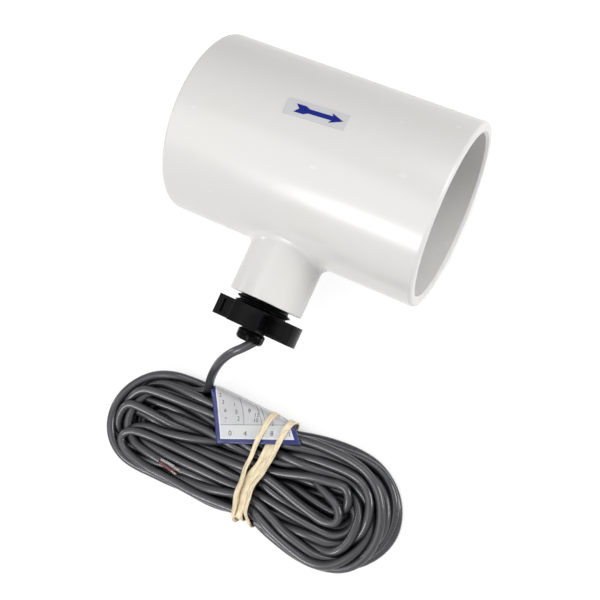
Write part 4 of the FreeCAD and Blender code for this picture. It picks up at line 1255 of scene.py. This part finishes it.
# ------------------------------------------------------------------------- thread and spring
class FLOWSWITCH_PG_small_parts(bpy.types.PropertyGroup):
    pitch: size("Thread pitch", "Pitch of the half-inch taper pipe thread", 1.814, 1, 3)
    crest: size("Thread crest radius", "Radius over the thread's crests", 10.6, 9.5, 11)
    wire: size("Spring wire", "Diameter of the return spring's wire", 0.4, 0.2, 0.6)


# where the thread shows along the branch, its root's radius, and its steps, in a turn and where it fades out
THREAD_START = -54.0 * MM
THREAD_END = -57.0 * MM
THREAD_ROOT = 9.15 * MM
STEPS_PER_TURN = 72
FADE_STEPS = 10


class FLOWSWITCH_OT_thread(bpy.types.Operator):
    """Cuts the pipe thread that shows between the branch and the knob"""

    bl_idname = "flowswitch.thread"
    bl_label = "Pipe thread"

    def execute(self, context):
        props = context.scene.flowswitch_small_parts
        turns = (THREAD_START - THREAD_END) / props.pitch
        count = int(turns * STEPS_PER_TURN)
        # half of the thread's foot, and its share that the flat crest takes
        half, flat = props.pitch * 0.46, 0.12
        vertices = []
        for step in range(count + 1):
            way = step / STEPS_PER_TURN * 2 * math.pi
            y = THREAD_START - step / STEPS_PER_TURN * props.pitch
            fade = min(1, step / FADE_STEPS, (count - step) / FADE_STEPS)
            crest = THREAD_ROOT + (props.crest - THREAD_ROOT) * fade
            for radius, shift in (
                (THREAD_ROOT, -half), (crest, -half * flat), (crest, half * flat), (THREAD_ROOT, half),
            ):
                along = y + shift * max(fade, 0.1)
                vertices.append((radius * math.cos(way), along, radius * math.sin(way)))
        finish = bpy.data.materials["switch_black"]
        faces = skin_faces(count + 1, 4)
        thread = add_mesh("pipe_thread", vertices, faces, finish, smooth=False)
        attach(thread, "root")
        return {"FINISHED"}


# the spring round the hinge pin, in millimetres: its coil, the heights of its two legs, and their points
PIN_Y = -29
SPRING_RADIUS = 2.0
SPRING_HEIGHTS = (1.4, 3.48)
SPRING_TURNS = 4
STEPS_PER_WRAP = 28
LEG_TIP = 6.9
LEG_STEP = 0.6
LEG_STEPS = 12


class FLOWSWITCH_OT_spring(bpy.types.Operator):
    """Winds the torsion spring that swings the paddle back"""

    bl_idname = "flowswitch.spring"
    bl_label = "Return spring"

    def execute(self, context):
        props = context.scene.flowswitch_small_parts
        radius, low, high = SPRING_RADIUS, *SPRING_HEIGHTS
        path = [(radius, PIN_Y + LEG_TIP - LEG_STEP * k, low) for k in range(LEG_STEPS)]
        steps = SPRING_TURNS * STEPS_PER_WRAP
        for step in range(steps + 1):
            way = -step / STEPS_PER_WRAP * 2 * math.pi
            height = low + (high - low) * step / steps
            path.append((radius * math.cos(way), PIN_Y + radius * math.sin(way), height))
        path += [(radius, PIN_Y - LEG_STEP * k, high) for k in range(1, LEG_STEPS + 1)]
        path = np.array(path) * MM
        spring = sweep(
            "torsion_spring", path, steady_normals(path), round_section(len(path), props.wire / 2, 10),
            drawn_metal("spring_steel", linear(196, 198, 202), 0.2),
        )
        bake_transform(spring)
        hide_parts("return_spring")
        return {"FINISHED"}


# ------------------------------------------------------------------------------- rigid pieces
class FLOWSWITCH_PG_finishes(bpy.types.PropertyGroup):
    pipe: colour("Tee colour", "Colour of the white pipe tee", linear(229, 228, 226))
    switch: colour("Switch colour", "Colour of the switch housing", linear(10, 10, 12))
    film: colour("Label film", "Colour of the clear label where it lies on the tee", linear(212, 212, 214))
    arrow: colour("Arrow colour", "Colour of the printed flow arrow", linear(8, 30, 128))


class FLOWSWITCH_OT_finishes(bpy.types.Operator):
    """Gives each rigid piece its finish"""

    bl_idname = "flowswitch.finishes"
    bl_label = "Rigid pieces' finishes"

    def execute(self, context):
        props = context.scene.flowswitch_finishes
        red = wire_insulation("inner_red", linear(168, 34, 32))
        white = wire_insulation("inner_white", linear(222, 220, 214))
        steel = drawn_metal("pin_steel", linear(200, 202, 205), 0.16)
        nickel = drawn_metal("nickel_iron", linear(186, 184, 178), 0.22)
        tin = drawn_metal("splice_tin", linear(190, 188, 184), 0.3)
        finishes = {
            "tee_body": moulded_pvc("tee_white", props.pipe),
            "flow_label_film": label_film("label_film", props.film),
            "flow_label_arrow": printing_ink("arrow_blue", props.arrow, 0.12),
            "switch_housing": black_plastic("switch_black", props.switch),
            "hinge_pin": steel,
            "paddle": black_plastic("paddle_black", linear(30, 30, 33)),
            "paddle_magnet": sintered_magnet("magnet_nickel", linear(170, 170, 172)),
            "magnet_plug": potting_resin("plug_resin", linear(18, 18, 19)),
            "reed_glass": clear_glass("reed_glass"),
            "reed_blade_moving": nickel,
            "reed_blade_fixed": nickel,
            "reed_lead_return": nickel,
            "reed_lead_straight": nickel,
            "splice_red": tin,
            "splice_white": tin,
            "inner_conductor_red": red,
            "inner_conductor_white": white,
            "potting_compound": potting_resin("casting_resin", linear(6, 6, 7)),
        }
        for name, finish in finishes.items():
            slots = NODES[name].material_slots
            if not slots:
                NODES[name].data.materials.append(finish)
            for slot in slots:
                slot.material = finish
        return {"FINISHED"}


# --------------------------------------------------------------------------------------- studio
class FLOWSWITCH_PG_studio(bpy.types.PropertyGroup):
    azimuth: angle("Camera azimuth", "Turn of the camera round the part", 82.025)
    elevation: angle("Camera elevation", "Height angle of the camera", 73.612)
    roll: angle("Camera roll", "Turn of the camera about its own line of sight", -57.736)
    distance: FloatProperty(
        name="Camera distance", description="Distance from the camera to its target", default=344.08 * MM,
        unit="LENGTH", subtype="DISTANCE",
    )
    view_angle: angle("View angle", "Angle of view across the picture", 38.301)
    daylight: FloatProperty(
        name="Surrounding light", description="Strength of the even light from all round", default=0.145,
        min=0, max=2,
    )
    lamp: FloatProperty(
        name="Lamp power", description="Power of the main soft lamp", default=1.8, min=0, max=100,
        unit="POWER",
    )
    ground: colour("Floor colour", "Colour of the floor", (0.78, 0.78, 0.78))


SWITCH = (0.0, -0.04, 0.0)
# each lamp's place, what it is aimed at, its width, and its share of the main lamp's power
LAMPS = (
    ("lamp_key", (-0.14, -0.63, 0.49), SWITCH, 0.22, 1),
    ("lamp_overhead", (-0.24, -0.4, 0.72), SWITCH, 0.75, 1.6),
    ("lamp_back", (0.1, 0.45, 0.75), SWITCH, 0.4, 0.9),
    ("lamp_low", (0.08, -0.72, 0.16), SWITCH, 0.6, 0.38),
    ("lamp_side", (-0.62, -0.12, 0.18), SWITCH, 0.12, 0.2),
    ("lamp_mouth", (0.5, 0.22, 0.22), (0.04, 0.0, 0.0), 0.25, 1.05),
)
# what the camera aims at on the floor, in millimetres
CAMERA_TARGET = (1.317, -46.386, FLOOR / MM)
# half the floor's width, how far it lies below the part, and the strength of its own white
FLOOR_HALF = 3.0
FLOOR_GAP = 0.05 * MM
FLOOR_GLOW = 1.14
WHITE = (1, 1, 1, 1)


class FLOWSWITCH_OT_studio(bpy.types.Operator):
    """Sets the pale floor, the soft lamps, the even surroundings and the camera"""

    bl_idname = "flowswitch.studio"
    bl_label = "Studio"

    def execute(self, context):
        props = context.scene.flowswitch_studio
        scene = context.scene
        scene.view_settings.view_transform = "Standard"
        self.add_camera(scene, props)
        self.add_floor(scene, props)
        self.add_world(scene, props)
        for name, place, aim, width, share in LAMPS:
            data = bpy.data.lights.new(name, "AREA")
            data.shape = "SQUARE"
            data.size = width
            data.energy = props.lamp * share
            lamp = bpy.data.objects.new(name, data)
            lamp.location = place
            lamp.rotation_euler = (Vector(aim) - Vector(place)).to_track_quat("-Z", "Y").to_euler()
            scene.collection.objects.link(lamp)
        return {"FINISHED"}

    def add_camera(self, scene, props):
        target = Vector(CAMERA_TARGET) * MM
        back = Vector((
            math.sin(props.azimuth) * math.cos(props.elevation),
            -math.cos(props.azimuth) * math.cos(props.elevation),
            math.sin(props.elevation),
        ))
        right = (-back).cross(Vector((0, 0, 1))).normalized()
        up = right.cross(-back)
        turned = right * math.cos(props.roll) + up * math.sin(props.roll)
        upright = up * math.cos(props.roll) - right * math.sin(props.roll)
        data = bpy.data.cameras.new("camera")
        data.lens = data.sensor_width / 2 / math.tan(props.view_angle / 2)
        data.clip_start = 0.01
        data.clip_end = 20
        camera = bpy.data.objects.new("camera", data)
        axes = Matrix((turned, upright, back)).transposed().to_4x4()
        camera.matrix_world = Matrix.Translation(target + back * props.distance) @ axes
        scene.collection.objects.link(camera)
        scene.camera = camera

    def add_floor(self, scene, props):
        half = FLOOR_HALF
        corners = [(-half, -half, 0), (half, -half, 0), (half, half, 0), (-half, half, 0)]
        mesh = bpy.data.meshes.new("floor")
        mesh.from_pydata(corners, [], [(0, 1, 2, 3)])
        floor = bpy.data.objects.new("floor", mesh)
        floor.location.z = FLOOR - FLOOR_GAP
        scene.collection.objects.link(floor)
        f = Finish("floor_paper")
        fibres = f.mix(f.noise(1400, 3), solid(props.ground, 0.98), solid(props.ground))
        paper = f.node("ShaderNodeBsdfDiffuse", sockets={"Color": fibres})
        # white where the floor is open, and plain paper, which takes the shadow, near what stands on it
        lit = f.ramp(f.openness(0.012, 12), 0.15, 0.6)
        glow = f.node("ShaderNodeEmission", sockets={"Color": WHITE, "Strength": FLOOR_GLOW})
        f.node_output(f.node("ShaderNodeMixShader", sockets={0: self.seen(f) * lit * 0.8, 1: paper, 2: glow}))
        mesh.materials.append(f.material)

    def seen(self, finish):
        """1 for what the camera sees directly, in a gloss or through glass, and else 0."""
        direct, gloss, through = (
            finish.node("ShaderNodeLightPath", output=f"Is {kind} Ray")
            for kind in ("Camera", "Glossy", "Transmission")
        )
        return direct.either(gloss).either(through)

    def add_world(self, scene, props):
        f = Finish("studio", bpy.data.worlds.new("studio"))
        scene.world = f.material
        even = f.node("ShaderNodeBackground", sockets={"Color": WHITE, "Strength": props.daylight})
        white = f.node("ShaderNodeBackground", sockets={"Color": WHITE, "Strength": 1.0})
        mixed = f.node("ShaderNodeMixShader", sockets={0: self.seen(f), 1: even, 2: white})
        f.node_output(mixed, "ShaderNodeOutputWorld")


# ---------------------------------------------------------------------------------------- panel
GROUPS = {
    "flowswitch_finishes": FLOWSWITCH_PG_finishes,
    "flowswitch_cable": FLOWSWITCH_PG_cable,
    "flowswitch_bare_end": FLOWSWITCH_PG_bare_end,
    "flowswitch_tag": FLOWSWITCH_PG_tag,
    "flowswitch_bands": FLOWSWITCH_PG_bands,
    "flowswitch_small_parts": FLOWSWITCH_PG_small_parts,
    "flowswitch_studio": FLOWSWITCH_PG_studio,
}
OPERATORS = (
    FLOWSWITCH_OT_studio,
    FLOWSWITCH_OT_finishes,
    FLOWSWITCH_OT_cable,
    FLOWSWITCH_OT_bare_end,
    FLOWSWITCH_OT_wide_band,
    FLOWSWITCH_OT_tag,
    FLOWSWITCH_OT_narrow_band,
    FLOWSWITCH_OT_thread,
    FLOWSWITCH_OT_spring,
)


class FLOWSWITCH_PT_panel(bpy.types.Panel):
    """Lists the flow switch's pieces and their sizes and colours"""

    bl_idname = "FLOWSWITCH_PT_panel"
    bl_label = "Flow switch"
    bl_space_type = "VIEW_3D"
    bl_region_type = "UI"
    bl_category = "Flow switch"

    def draw(self, context):
        for operator in OPERATORS:
            self.layout.operator(operator.bl_idname)
        for group in GROUPS:
            box = self.layout.box()
            settings = getattr(context.scene, group)
            for name in settings.bl_rna.properties.keys():
                if name not in ("rna_type", "name"):
                    box.prop(settings, name)


CLASSES = (*GROUPS.values(), *OPERATORS, FLOWSWITCH_PT_panel)


def register():
    for item in CLASSES:
        bpy.utils.register_class(item)
    for name, group in GROUPS.items():
        setattr(bpy.types.Scene, name, PointerProperty(type=group))


def unregister():
    for name in GROUPS:
        delattr(bpy.types.Scene, name)
    for item in reversed(CLASSES):
        bpy.utils.unregister_class(item)


def main():
    register()
    bpy.ops.flowswitch.studio()
    bpy.ops.flowswitch.finishes()
    bpy.ops.flowswitch.cable()
    bpy.ops.flowswitch.bare_end()
    bpy.ops.flowswitch.wide_band()
    bpy.ops.flowswitch.tag()
    bpy.ops.flowswitch.narrow_band()
    bpy.ops.flowswitch.thread()
    bpy.ops.flowswitch.spring()


if __name__ == "__main__":
    main()
